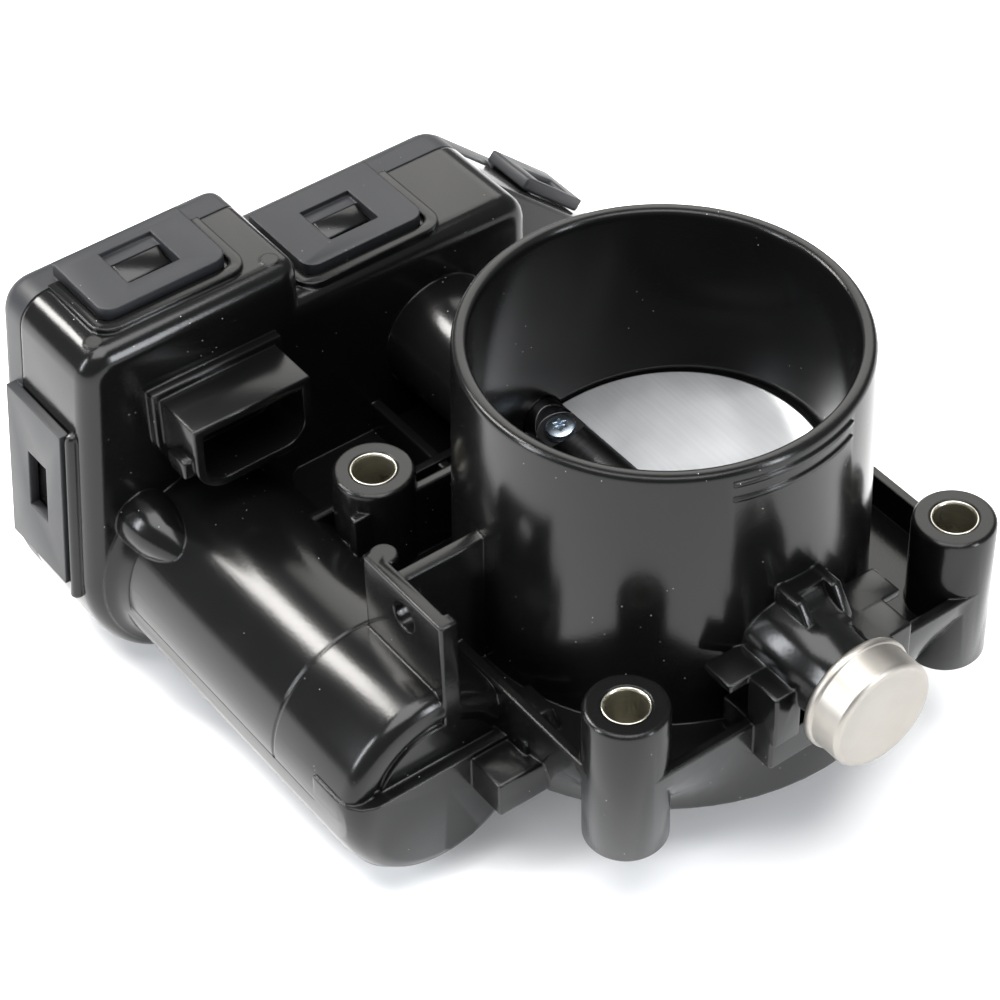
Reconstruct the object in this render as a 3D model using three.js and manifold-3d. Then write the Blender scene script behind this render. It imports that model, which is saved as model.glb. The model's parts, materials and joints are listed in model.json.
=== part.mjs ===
// An electronic throttle body: a moulded housing with a large round bore, a motor barrel beside it, a gear case
// at one end closed by a clipped cover, and the geared shaft and plate that the motor turns.
// Millimetres, +Z up. The origin is on the bore's axis at the face that bolts to the intake manifold.
// +X runs along the throttle shaft to its end cap, and the motor lies on the -Y side.
import * as THREE from "three";
import { mergeVertices } from "three/addons/utils/BufferGeometryUtils.js";
import Module from "manifold-3d";

const wasm = await Module();
wasm.setup();

// ---- Driving dimensions ----

const FIT_GAP = 0.05; // radial clearance of a pressed or seated piece
const RUN_GAP = 0.25; // radial clearance of a turning piece
const REST_GAP = 0.3; // clearance between pieces that rest near each other
const CUT_THROUGH = 2; // how far a cutter runs past the face it opens
const SINK = 1; // how far joined shapes run into each other

const FACETS = { bore: 56, drum: 32, boss: 20, pin: 12, corner: 4, ball: 6, side: 7 };

const bore = { height: 75.4, rimR: 37, throatR: 35.3, throatTop: 42, rimChamfer: 0.7 };
const tube = { topR: 40.1, baseR: 41.6 };

const shaft = { y: -2.9, z: 30.8, r: 5, plusEnd: 62, minusEnd: -91.5, flatDepth: 3 };
const plate = { r: 34.9, thickness: 1.6, limpTilt: 9.8, slotGap: 0.1, edgeOffset: 2.9 };
const plateScrew = { x: 28, headR: 3.2, headH: 1.7, shankR: 1.9, shankL: 5.6, driveR: 1.3, driveDepth: 0.8 };

const flange = { half: 48.94, discR: 52, floorZ: 12.8, wallZ: 20.5, wall: 2.3 };
const bolt = { x: 40.5, y: 40.6, bossR: 8.44, top: 34.5 };
const sleeve = { outerR: 4.815, innerR: 4.15 };
const manifoldSeal = { innerR: 41.4, outerR: 44.6, depth: 2, proud: 0.5 };

const needle = { innerR: shaft.r + 0.4, wall: 1.8, x0: 51, x1: 60 };
needle.outerR = needle.innerR + needle.wall;
const ballBearing = { innerRaceR: shaft.r + 1.9, ballSpace: 2.3, outerWall: 1.8, width: 6.8, balls: 8, ballR: 1.05 };
ballBearing.outerRaceR = ballBearing.innerRaceR + ballBearing.ballSpace;
ballBearing.outerR = ballBearing.outerRaceR + ballBearing.outerWall;
const shaftSeal = { outerR: shaft.r + 2.6, length: 3 };
const shaftBoss = { r: needle.outerR + 2, end: 65, casingR: ballBearing.outerR + 2.5 };
const endCap = { r: shaftBoss.r + 2.5, lip: 0.6, lipX: 60.6, lipW: 1.6, face: 69.15, wall: 1.6, bevel: 0.8 };

const ledge = { x0: 46.5, x1: 55, innerY: 10.4, outerY: 16.6, top: 31.7, bottom: 20.5, webT: 2.2 };
const fork = { top: 44, ribT: 2.1, leftY: -5.4, rightY: 3, kneeX: 47, footX: 50.8, footZ: 38.5 };

const motor = { y: -63.7, z: 4.5 };
const barrel = { r: 21.3, end: 12, cavityR: 18.3, cavityEnd: 8.6, trayR: 21.9, trayTop: 10, trayEnd: 14.8 };
const canToSleeve = 0.785; // the can's nearest approach to a mounting sleeve
const can = {
  r: -motor.y - bolt.y - sleeve.outerR - canToSleeve, wall: 1.2,
  open: -66.6, end: 4.4, shaftHole: 1.9,
};
const motorScrew = { ring: 21.2, angle: 130, r: 1.5, headR: 2.6, headH: 1.8, length: 9, earR: 3.4, lumpR: 4.6 };
const rotor = { shaftR: 1.6, coreR: 12.5, coreX0: -54, coreX1: -6, slots: 7, slotW: 2.6, slotRoot: 6.8 };
const magnet = { innerR: 13.2, halfSpan: 68, x0: -58, x1: -3 };
const commutator = { r: 4.6, x0: -65.6, x1: -58.5 };
const brush = { w: 3, length: 6, h: 4 };

const gearCase = {
  faceX: -70.5, floorX: -73, seamX: -95, roofX: -101.5, backX: -104, wall: 2.5, edgeR: 3.5,
  motorR: 27.3, idlerR: 31.7, shaftR: 24.5, lean: 5.3, topLeft: 65, topRight: 55, stepY: -35, cornerR: 7,
};
// The wing of the gear case beyond its right wall, whose top slopes down, and the cover's hook over that slope.
const wing = { topY: 20.7, topZ: 51.3, slope: 42.6, run: 41.5, rootY: 17, bottomZ: 14, frontX: -80, pocketY: 24.2 };
const slopeClip = { x0: -97.6, x1: -83, from: 12, to: 32, gap: REST_GAP, t: 2.9, window: [-91.5, -86, 17, 27] };
const coverSeal = { inset: 0.8, width: 0.9, depth: 1.4 };

const gear = { module: 1, addendum: 0.8, dedendum: 1.15, thin: 0.86, pressure: 20 };
const teeth = { pinion: 11, idlerBig: 55, idlerSmall: 27, sector: 40 };
const layer = { sector: [-91, -85], idlerSmall: [-93, -84.7], idlerBig: [-98, -93], pinion: [-98.6, -92.4] };
const idler = { axleR: 2, hubR: 4.5, hubEnd: -73.8, footDepth: 1.6, capX: -99.4, capR: 4.2 };
const sector = { hubR: shaft.r + 3.6, hubEnds: [-92, -84.6], armDeg: [108, 219] };
const sensor = { magnetR: 3.9, magnetEnd: -96, boardT: 1.5 };
const spring = { r: sector.hubR + 3.8, wireR: 0.85, turns: 4, x0: -82.4, x1: -75.2, stepsPerTurn: 11 };

const connector = {
  y0: -71.5, y1: -44, z0: 33, z1: 50, mouthX: -56, wall: 2, bottomR: 7, pins: 6, pinPitch: 3.3, pinZ: 43,
  pinW: 0.8, pinTip: -61.5,
};

const bracket = {
  y0: -61.8, y1: -58.8, x0: -13, x1: 12, top: 44.4, holeX: 0, holeZ: 38.5, holeR: 3.35, padZ: 26.4, padDepth: 0.3,
};
const bracketPost = { x: -11.1, y: -58.2, r: 2.9 };

const topClip = {
  x0: -97.6, x1: -78, y0: -76, y1: -47, gap: REST_GAP, t: 2.9, window: [-91, -83, -67.3, -55.3],
};
const lowClip = {
  x0: -97.6, x1: -75.5, y0: -30.5, y1: -1.5, gap: REST_GAP, t: 2.6, window: [-88.5, -80.5, -21.8, -9.8],
};
const sideClip = { x0: -97.6, x1: -77, z0: 6, z1: 44, gap: REST_GAP, t: 2.4, window: [-90, -83, 18, 32] };

// ---- Geometry helpers ----

// A closed three.js geometry as a solid that can be joined and cut.
function solid(geometry) {
  const bare = geometry.clone();
  bare.deleteAttribute("normal");
  bare.deleteAttribute("uv");
  const merged = mergeVertices(bare, 1e-4);
  const corners = merged.index.array;
  const triangles = [];
  for (let i = 0; i < corners.length; i += 3) {
    const [a, b, c] = corners.slice(i, i + 3);
    if (a !== b && b !== c && c !== a) triangles.push(a, b, c);
  }
  const mesh = new wasm.Mesh({
    numProp: 3,
    vertProperties: merged.attributes.position.array,
    triVerts: new Uint32Array(triangles),
  });
  return new wasm.Manifold(mesh);
}

// The geometry of a finished solid.
function geometryOf(shape) {
  const mesh = shape.getMesh();
  const geometry = new THREE.BufferGeometry();
  geometry.setAttribute("position", new THREE.BufferAttribute(mesh.vertProperties, 3));
  geometry.setIndex(new THREE.BufferAttribute(mesh.triVerts, 1));
  return geometry.toNonIndexed();
}

function join(...shapes) {
  return shapes.reduce((whole, next) => whole.add(next));
}

function cut(whole, ...cutters) {
  return cutters.reduce((rest, cutter) => rest.subtract(cutter), whole);
}

function radians(degrees) {
  return THREE.MathUtils.degToRad(degrees);
}

// The radius of an n-sided hole whose flats clear a round of radius r.
function holeR(r, n) {
  return r / Math.cos(Math.PI / n);
}

function box(x0, x1, y0, y1, z0, z1) {
  const geometry = new THREE.BoxGeometry(x1 - x0, y1 - y0, z1 - z0);
  geometry.translate((x0 + x1) / 2, (y0 + y1) / 2, (z0 + z1) / 2);
  return solid(geometry);
}

function cylinderX(r, x0, x1, y, z, n = FACETS.boss, r1 = r) {
  const geometry = new THREE.CylinderGeometry(r1, r, x1 - x0, n);
  geometry.rotateZ(-Math.PI / 2);
  geometry.translate((x0 + x1) / 2, y, z);
  return solid(geometry);
}

function cylinderY(r, y0, y1, x, z, n = FACETS.pin) {
  const geometry = new THREE.CylinderGeometry(r, r, y1 - y0, n);
  geometry.translate(x, (y0 + y1) / 2, z);
  return solid(geometry);
}

function cylinderZ(r, z0, z1, x, y, n = FACETS.boss) {
  const geometry = new THREE.CylinderGeometry(r, r, z1 - z0, n);
  geometry.rotateX(Math.PI / 2);
  geometry.translate(x, y, (z0 + z1) / 2);
  return solid(geometry);
}

// A profile of [radius, height] points turned round the Z axis.
function turnedZ(profile, n = FACETS.bore) {
  const points = profile.map(([r, h]) => new THREE.Vector2(r, h));
  const geometry = new THREE.LatheGeometry(points, n);
  geometry.rotateX(Math.PI / 2);
  const shape = solid(geometry);
  return shape.volume() < 0 ? solid(new THREE.LatheGeometry(points.reverse(), n).rotateX(Math.PI / 2)) : shape;
}

// A profile of [radius, x] points turned round a line parallel to the X axis.
function turnedX(profile, y, z, n = FACETS.drum) {
  const make = (points) => {
    const geometry = new THREE.LatheGeometry(points, n);
    geometry.rotateZ(-Math.PI / 2);
    geometry.translate(0, y, z);
    return solid(geometry);
  };
  const points = profile.map(([r, x]) => new THREE.Vector2(r, x));
  const shape = make(points);
  return shape.volume() < 0 ? make(points.reverse()) : shape;
}

// A hollow round: a ring with a rectangular section.
function ringX(innerR, outerR, x0, x1, y, z, n = FACETS.boss) {
  return turnedX([[innerR, x0], [outerR, x0], [outerR, x1], [innerR, x1], [innerR, x0]], y, z, n);
}

function ringZ(innerR, outerR, z0, z1, n = FACETS.bore) {
  return turnedZ([[innerR, z0], [outerR, z0], [outerR, z1], [innerR, z1], [innerR, z0]], n);
}

function shapeOf(points) {
  return new THREE.Shape(points.map(([a, b]) => new THREE.Vector2(a, b)));
}

// An outline of [y, z] points carried from x0 to x1.
function prismX(points, x0, x1) {
  const geometry = new THREE.ExtrudeGeometry(shapeOf(points), { depth: x1 - x0, bevelEnabled: false });
  geometry.applyMatrix4(new THREE.Matrix4().set(0, 0, 1, x0, 1, 0, 0, 0, 0, 1, 0, 0, 0, 0, 0, 1));
  return solid(geometry);
}

// An outline of [x, z] points carried from y0 to y1.
function prismY(points, y0, y1) {
  const geometry = new THREE.ExtrudeGeometry(shapeOf(points), { depth: y1 - y0, bevelEnabled: false });
  geometry.applyMatrix4(new THREE.Matrix4().set(1, 0, 0, 0, 0, 0, -1, y1, 0, 1, 0, 0, 0, 0, 0, 1));
  return solid(geometry);
}

// An outline of [x, y] points carried from z0 to z1.
function prismZ(points, z0, z1) {
  const geometry = new THREE.ExtrudeGeometry(shapeOf(points), { depth: z1 - z0, bevelEnabled: false });
  geometry.translate(0, 0, z0);
  return solid(geometry);
}

// A closed skin through rings of points that all have the same count.
function loft(rings) {
  const count = rings[0].length;
  const positions = rings.flat(2);
  const index = [];
  for (let level = 0; level + 1 < rings.length; level++) {
    for (let i = 0; i < count; i++) {
      const a = level * count + i;
      const b = level * count + ((i + 1) % count);
      index.push(a, b, b + count, a, b + count, a + count);
    }
  }
  const flat = rings[0].map((p) => new THREE.Vector2(...flattened(p, rings)));
  const last = (rings.length - 1) * count;
  for (const [a, b, c] of capTriangles(flat)) {
    index.push(a, c, b, last + a, last + b, last + c);
  }
  const make = (order) => {
    const geometry = new THREE.BufferGeometry();
    geometry.setAttribute("position", new THREE.Float32BufferAttribute(positions, 3));
    geometry.setIndex(order);
    return geometry;
  };
  const shape = solid(make(index));
  return shape.volume() < 0 ? solid(make([...index].reverse())) : shape;
}

// The triangles that fill an outline, each turning the way the outline does.
function capTriangles(outline) {
  const triangles = THREE.ShapeUtils.triangulateShape(outline, []);
  const area = (points) => THREE.ShapeUtils.area(points);
  const sameWay = area(outline) * area(triangles[0].map((i) => outline[i])) > 0;
  return sameWay ? triangles : triangles.map(([a, b, c]) => [a, c, b]);
}

// A ring's point with the coordinate along the loft left out.
function flattened(point, rings) {
  const first = rings[0][0];
  const end = rings[rings.length - 1][0];
  const sameRing = (axis) => rings[0].every((p) => Math.abs(p[axis] - first[axis]) < 1e-9);
  const along = [0, 1, 2].find((axis) => sameRing(axis) && Math.abs(end[axis] - first[axis]) > 1e-9);
  return [point[(along + 1) % 3], point[(along + 2) % 3]];
}

function arc(cy, cz, r, fromDeg, toDeg, steps = FACETS.corner) {
  const points = [];
  for (let i = 0; i <= steps; i++) {
    const t = radians(fromDeg + ((toDeg - fromDeg) * i) / steps);
    points.push([cy + r * Math.cos(t), cz + r * Math.sin(t)]);
  }
  return points;
}

// A rectangle with round corners, anticlockwise from its lower right corner.
function roundedRectangle(a0, a1, b0, b1, r, steps = FACETS.corner) {
  return [
    ...arc(a1 - r, b0 + r, r, -90, 0, steps),
    ...arc(a1 - r, b1 - r, r, 0, 90, steps),
    ...arc(a0 + r, b1 - r, r, 90, 180, steps),
    ...arc(a0 + r, b0 + r, r, 180, 270, steps),
  ];
}

// ---- Places worked out from the gears ----

const idlerPlace = (() => {
  const toMotor = (gear.module * (teeth.pinion + teeth.idlerBig)) / 2;
  const toShaft = (gear.module * (teeth.idlerSmall + teeth.sector)) / 2;
  const dy = shaft.y - motor.y;
  const dz = shaft.z - motor.z;
  const span = Math.hypot(dy, dz);
  const along = (toMotor ** 2 - toShaft ** 2 + span ** 2) / (2 * span);
  const aside = Math.sqrt(toMotor ** 2 - along ** 2);
  return {
    y: motor.y + (along * dy + aside * dz) / span,
    z: motor.z + (along * dz - aside * dy) / span,
  };
})();

function bearingDeg(from, to) {
  return THREE.MathUtils.radToDeg(Math.atan2(to.z - from.z, to.y - from.y));
}

// ---- Outlines of the gear case ----

// The angle of the outward normal of the lower line that touches two circles.
function lowerTangentDeg(a, ra, b, rb) {
  const span = Math.hypot(b.y - a.y, b.z - a.z);
  return bearingDeg(a, b) + THREE.MathUtils.radToDeg(Math.acos((ra - rb) / span));
}

// The case's outline, drawn inset from its outer face: round the motor, the idler and the shaft below, and a
// step down in its top edge above.
function caseOutline(inset) {
  const motorR = gearCase.motorR - inset;
  const shaftR = gearCase.shaftR - inset;
  const idlerR = gearCase.idlerR - inset;
  const cornerR = Math.max(gearCase.cornerR - inset, 0.5);
  const toIdler = lowerTangentDeg(shaft, shaftR, idlerPlace, idlerR);
  const toMotor = lowerTangentDeg(idlerPlace, idlerR, motor, motorR);
  const leanDeg = 180 - gearCase.lean - 360;
  const wallY = (z) => {
    const t = radians(leanDeg);
    return motor.y + (motorR - (z - motor.z) * Math.sin(t)) / Math.cos(t);
  };
  const top = gearCase.topLeft - inset;
  const lowTop = gearCase.topRight - inset;
  const right = shaft.y + shaftR;
  const leftCorner = { y: wallY(top - cornerR) + cornerR / Math.cos(radians(gearCase.lean)), z: top - cornerR };
  return [
    ...arc(right - cornerR, lowTop - cornerR, cornerR, 90, 0),
    ...arc(shaft.y, shaft.z, shaftR, 0, toIdler),
    ...arc(idlerPlace.y, idlerPlace.z, idlerR, toIdler, toMotor),
    ...arc(motor.y, motor.z, motorR, toMotor, leanDeg, 2 * FACETS.corner),
    ...arc(leftCorner.y, leftCorner.z, cornerR, 180 - gearCase.lean, 90),
    ...arc(gearCase.stepY - inset - 2, top - 2, 2, 90, 0, 3),
    [gearCase.stepY - inset, lowTop],
  ].reverse();
}

function caseRing(x, inset) {
  return caseOutline(inset).map(([y, z]) => [x, y, z]);
}

// ---- Housing ----

function tubeBody() {
  const chamfer = bore.rimChamfer;
  return turnedZ([
    [0, 0], [tube.baseR, 0], [tube.baseR, flange.floorZ], [tube.topR, bore.height - chamfer],
    [tube.topR - chamfer, bore.height], [0, bore.height], [0, 0],
  ]);
}

function boreCut() {
  return turnedZ([
    [0, -CUT_THROUGH], [bore.throatR, -CUT_THROUGH], [bore.throatR, bore.throatTop],
    [bore.rimR, bore.height - 2 * bore.rimChamfer], [bore.rimR + bore.rimChamfer, bore.height],
    [bore.rimR + bore.rimChamfer, bore.height + CUT_THROUGH], [0, bore.height + CUT_THROUGH], [0, -CUT_THROUGH],
  ]);
}

// A square outline of the given half width whose corners are rounded about the bolts.
function flangeOutline(half) {
  const corners = roundedRectangle(-half, half, -half, half, half - bolt.x, FACETS.corner);
  return corners.flatMap((point, i) => {
    const next = corners[(i + 1) % corners.length];
    const straight = Math.hypot(next[0] - point[0], next[1] - point[1]) > half;
    return straight ? between(point, next, FACETS.side) : [point];
  });
}

// A point and the ones that divide the way to the next into equal steps.
function between(from, to, steps) {
  return Array.from({ length: steps }, (_, i) => from.map((value, axis) => value + ((to[axis] - value) * i) / steps));
}

function flangeBody() {
  const upper = flangeOutline(flange.half);
  const lower = upper.map(([x, y]) => {
    const reach = flange.discR / Math.hypot(x, y);
    return [x * reach, y * reach, 0];
  });
  const level = (z) => upper.map(([x, y]) => [x, y, z]);
  const plateau = loft([lower, level(flange.floorZ)]);
  const wallBlock = prismZ(flangeOutline(flange.half), flange.floorZ - SINK, flange.wallZ);
  const pocket = prismZ(flangeOutline(flange.half - flange.wall), flange.floorZ - SINK, flange.wallZ + CUT_THROUGH);
  const bosses = boltPlaces().map(([x, y]) => cylinderZ(bolt.bossR, 0, bolt.top, x, y));
  return join(plateau, cut(wallBlock, pocket), ...bosses);
}

function boltPlaces() {
  return [
    [bolt.x, -bolt.y],
    [bolt.x, bolt.y],
    [-bolt.x, -bolt.y],
    [-bolt.x, bolt.y],
  ];
}

function shaftBosses() {
  const plus = cylinderX(shaftBoss.r, bore.throatR + 2, shaftBoss.end, shaft.y, shaft.z);
  const minus = cylinderX(shaftBoss.casingR, gearCase.floorX, -bore.throatR - 2, shaft.y, shaft.z, FACETS.drum);
  return join(plus, minus);
}

// The two blocks beside the shaft boss, the shelf under them and the web across their tops.
function shaftLedges() {
  const shelf = box(bore.throatR + 4, ledge.x1 - 1, -ledge.outerY, ledge.outerY, flange.floorZ - SINK, ledge.bottom);
  const block = (sign) => {
    const y0 = Math.min(sign * ledge.innerY, sign * ledge.outerY);
    const y1 = Math.max(sign * ledge.innerY, sign * ledge.outerY);
    return box(ledge.x0, ledge.x1, y0, y1, ledge.bottom - SINK, ledge.top);
  };
  const inner = ledge.innerY + SINK;
  const web = box(bore.throatR + 4, ledge.x1 + 1, -inner, inner, ledge.top - ledge.webT, ledge.top);
  return join(shelf, block(-1), block(1), web);
}

// The fork of two ribs over the shaft boss and the sloping web between them.
function forkRibs() {
  const root = bore.throatR + 4;
  const rib = (y) =>
    prismY(
      [[root, shaft.z], [fork.footX, shaft.z], [fork.footX, fork.footZ], [fork.kneeX, fork.top], [root, fork.top]],
      y,
      y + fork.ribT,
    );
  const web = prismY(
    [[root, shaft.z], [52, shaft.z], [52, 39.6], [49.5, 39.9], [47.2, 40.8], [45.4, 42.2], [44.2, 43.4], [root, 43.4]],
    fork.leftY + fork.ribT - 0.5,
    fork.rightY + 0.5,
  );
  return join(rib(fork.leftY), rib(fork.rightY), web);
}

function motorBarrel() {
  const body = turnedX(
    [[0, gearCase.floorX], [barrel.r, gearCase.floorX], [barrel.r, barrel.end - 2.5], [barrel.r - 0.8, barrel.end - 0.8],
      [barrel.r - 2.8, barrel.end], [0, barrel.end], [0, gearCase.floorX]],
    motor.y, motor.z,
  );
  const tray = turnedX(
    [[0, gearCase.floorX], [barrel.trayR, gearCase.floorX], [barrel.trayR, barrel.trayEnd - 4],
      [barrel.trayR - 1.4, barrel.trayEnd - 1.2], [barrel.trayR - 5, barrel.trayEnd], [0, barrel.trayEnd],
      [0, gearCase.floorX]],
    motor.y, motor.z,
  );
  const above = box(-200, 100, -200, 100, barrel.trayTop, 100);
  const behind = box(-200, -8, -200, 100, 3, 100);
  return join(body, cut(tray, above, behind), ...[0, 180].map(motorScrewLump));
}

// The tapering lump along the barrel that holds a motor screw.
function motorScrewLump(turn) {
  const [y, z] = screwPlace(turn);
  return cylinderX(motorScrew.lumpR, gearCase.floorX, gearCase.faceX + 17, y, z, FACETS.pin, 1.2);
}

function screwPlace(turn) {
  const t = radians(motorScrew.angle + turn);
  return [motor.y + motorScrew.ring * Math.cos(t), motor.z + motorScrew.ring * Math.sin(t)];
}

// The floor under the barrel that carries it on the flange, and the ribs between them.
function barrelLinks() {
  const deck = box(-49, 24, -58, -flange.half + 8, 0.5, 9);
  const wedge = prismY([[11, 0.5], [25.4, 0.5], [25.4, 8], [19, 16.2], [11, 16.2]], -45.6, -41);
  const foot = box(6, 20.6, -49.2, -41, 1, 12.4);
  const traySlab = prismX(
    [[-73.7, 10], [-45.6, 10], [-45.6, 1.2], [-50, -4.6], [-53.5, -9], [-58, -13], [-63.7, -14], [-73.7, -8]],
    -6, barrel.trayEnd,
  );
  const backWall = box(-49, -46.6, -60, -40, 4, 22);
  const bossRib = box(-36.2, -33.8, -50, -bore.throatR + 14, 10, bolt.top - 4.3);
  const caseRibs = [-21, 13.6].map((y) => box(gearCase.floorX, -38, y, y + 2.4, 4, 20));
  const caseFloor = box(gearCase.floorX, -44, -46, 22, 6, flange.floorZ);
  return join(deck, wedge, foot, traySlab, backWall, bossRib, caseFloor, ...caseRibs);
}

function bracketPlate() {
  const upright = box(bracket.x0, bracket.x1, bracket.y0, bracket.y1, 12, bracket.top);
  const post = cylinderZ(bracketPost.r, 16, bracket.top, bracketPost.x, bracketPost.y, FACETS.pin);
  const end = box(bracket.x1 - 3, bracket.x1, bracket.y0, bracket.y0 + 4, 6, bracket.top);
  const rib = box(-5.9, -2.8, bracket.y1 - SINK, -tube.topR + 2, 6, bracket.top);
  const hole = cylinderY(bracket.holeR, bracket.y0 - CUT_THROUGH, bracket.y1 + CUT_THROUGH, bracket.holeX, bracket.holeZ);
  // The flat pad ends above the barrel's crest, so what bolts to it clears the barrel.
  const relief = box(bracket.x0 - 1, bracket.x1 + 1, bracket.y0 - 1, bracket.y0 + bracket.padDepth, 0, bracket.padZ);
  return cut(join(upright, post, end, rib), hole, relief);
}

function gearPan() {
  const outside = loft([
    caseRing(gearCase.seamX, 0), caseRing(gearCase.faceX - gearCase.edgeR, 0),
    caseRing(gearCase.faceX - 0.3 * gearCase.edgeR, 0.3 * gearCase.edgeR), caseRing(gearCase.faceX, gearCase.edgeR),
  ]);
  const wingBody = prismX(wingOutline(), gearCase.seamX, wing.frontX);
  const pocket = prismX(wingPocket(), gearCase.seamX - CUT_THROUGH, wing.frontX - gearCase.wall);
  const rims = [clipRim(topClip, gearCase.topLeft), clipRim(lowClip, gearCase.topRight)];
  return cut(join(outside, wingBody, ...rims, ...clipCatches()), pocket);
}

// A point along the wing's slope and off its surface, as y and z.
function slopePoint(along, off) {
  const t = radians(wing.slope);
  return [wing.topY + along * Math.cos(t) + off * Math.sin(t), wing.topZ - along * Math.sin(t) + off * Math.cos(t)];
}

function wingOutline() {
  const end = slopePoint(wing.run, 0);
  return [[wing.rootY, wing.bottomZ], [end[0], wing.bottomZ], end, slopePoint(0, 0), [wing.rootY, wing.topZ]];
}

// The hollow inside the wing, beyond the case's own wall.
function wingPocket() {
  const t = radians(wing.slope);
  const inner = slopePoint(wing.run, -gearCase.wall);
  const roof = slopePoint((wing.pocketY - wing.topY) / Math.cos(t), -gearCase.wall / Math.cos(t));
  const endY = slopePoint(wing.run, 0)[0] - gearCase.wall;
  const endZ = inner[1] + (inner[0] - endY) * Math.tan(t);
  const floor = wing.bottomZ + gearCase.wall;
  return [[wing.pocketY, floor], [endY, floor], [endY, endZ], [wing.pocketY, roof[1] + (roof[0] - wing.pocketY) * Math.tan(t)]];
}

function slopeHook(clip) {
  const [x0, x1, a0, a1] = clip.window;
  const slab = (from, to, low, high, xa, xb) =>
    prismX([slopePoint(from, low), slopePoint(to, low), slopePoint(to, high), slopePoint(from, high)], xa, xb);
  const high = clip.gap + clip.t;
  const hook = slab(clip.from, clip.to, clip.gap, high, clip.x0, clip.x1);
  const root = slab(clip.from, clip.to, -SINK, high, clip.x0, gearCase.seamX);
  return cut(join(hook, root), slab(a0, a1, clip.gap - 1, high + 1, x0, x1));
}

// The low raised rim on the pan round a cover clip.
function clipRim(clip, top) {
  const rise = 1.1;
  const width = 3;
  const outer = box(gearCase.seamX, clip.x1 + width, clip.y0 - width, clip.y1 + width, top - SINK, top + rise);
  const [y0, y1] = [clip.y0 - REST_GAP, clip.y1 + REST_GAP];
  const inner = box(gearCase.seamX - 1, clip.x1 + REST_GAP, y0, y1, top - 2 * SINK, top + 5);
  return cut(outer, inner);
}

// The ramps on the pan that the cover's clips snap over.
function clipCatches() {
  const ramp = (clip, top) => {
    const [x0, x1, y0, y1] = clip.window;
    const high = top + clip.gap + clip.t * 0.7;
    const outline = [[x0 + 0.5, top - SINK], [x1 - 3, top - SINK], [x1 - 3, top + 0.6], [x0 + 0.5, high]];
    return prismY(outline, y0 + 0.6, y1 - 0.6);
  };
  const [x0, x1, z0, z1] = sideClip.window;
  const wallY = motor.y - gearCase.motorR;
  const sideOutline = [[x0 + 0.5, wallY + 6], [x1 - 3, wallY + 6], [x1 - 3, wallY], [x0 + 0.5, wallY - 0.6]];
  const side = prismZ(sideOutline, z0 + 0.6, z1 - 0.6);
  return [ramp(topClip, gearCase.topLeft), ramp(lowClip, gearCase.topRight), side];
}

function connectorOutline(inset) {
  const c = connector;
  const r = c.bottomR - inset;
  return [
    ...arc(c.y1 - c.bottomR, c.z0 + c.bottomR, r, -90, 0),
    [c.y1 - inset, c.z1 - inset],
    [c.y0 + inset, c.z1 - inset],
    ...arc(c.y0 + c.bottomR, c.z0 + c.bottomR, r, 180, 270),
  ];
}

function pinPlaces() {
  const middle = (connector.y0 + connector.y1) / 2;
  const first = middle - ((connector.pins - 1) / 2) * connector.pinPitch;
  return Array.from({ length: connector.pins }, (_, i) => first + i * connector.pinPitch);
}

// The cut along the throttle shaft: running bore, seal pockets, bearing pocket and needle-bearing pocket.
function shaftLineCut() {
  const run = holeR(shaft.r + RUN_GAP, FACETS.drum);
  const bearingR = holeR(ballBearing.outerR + FIT_GAP, FACETS.drum);
  const sealR = holeR(shaftSeal.outerR + FIT_GAP, FACETS.drum);
  const needleR = holeR(needle.outerR + FIT_GAP, FACETS.drum);
  const bearingX = gearCase.floorX + ballBearing.width;
  return turnedX(
    [
      [0, gearCase.floorX - CUT_THROUGH], [bearingR, gearCase.floorX - CUT_THROUGH], [bearingR, bearingX],
      [sealR, bearingX], [sealR, bearingX + shaftSeal.length + FIT_GAP], [run, bearingX + shaftSeal.length + FIT_GAP],
      [run, needle.x0 - shaftSeal.length - FIT_GAP], [sealR, needle.x0 - shaftSeal.length - FIT_GAP],
      [sealR, needle.x0 - FIT_GAP], [needleR, needle.x0 - FIT_GAP], [needleR, shaftBoss.end + CUT_THROUGH],
      [0, shaftBoss.end + CUT_THROUGH], [0, gearCase.floorX - CUT_THROUGH],
    ],
    shaft.y, shaft.z,
  );
}

// The hole that holds an end of the intermediate gear's axle.
function axleSeat(x0, x1) {
  return cylinderX(holeR(idler.axleR + FIT_GAP, FACETS.pin), x0, x1, idlerPlace.y, idlerPlace.z, FACETS.pin);
}

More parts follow.
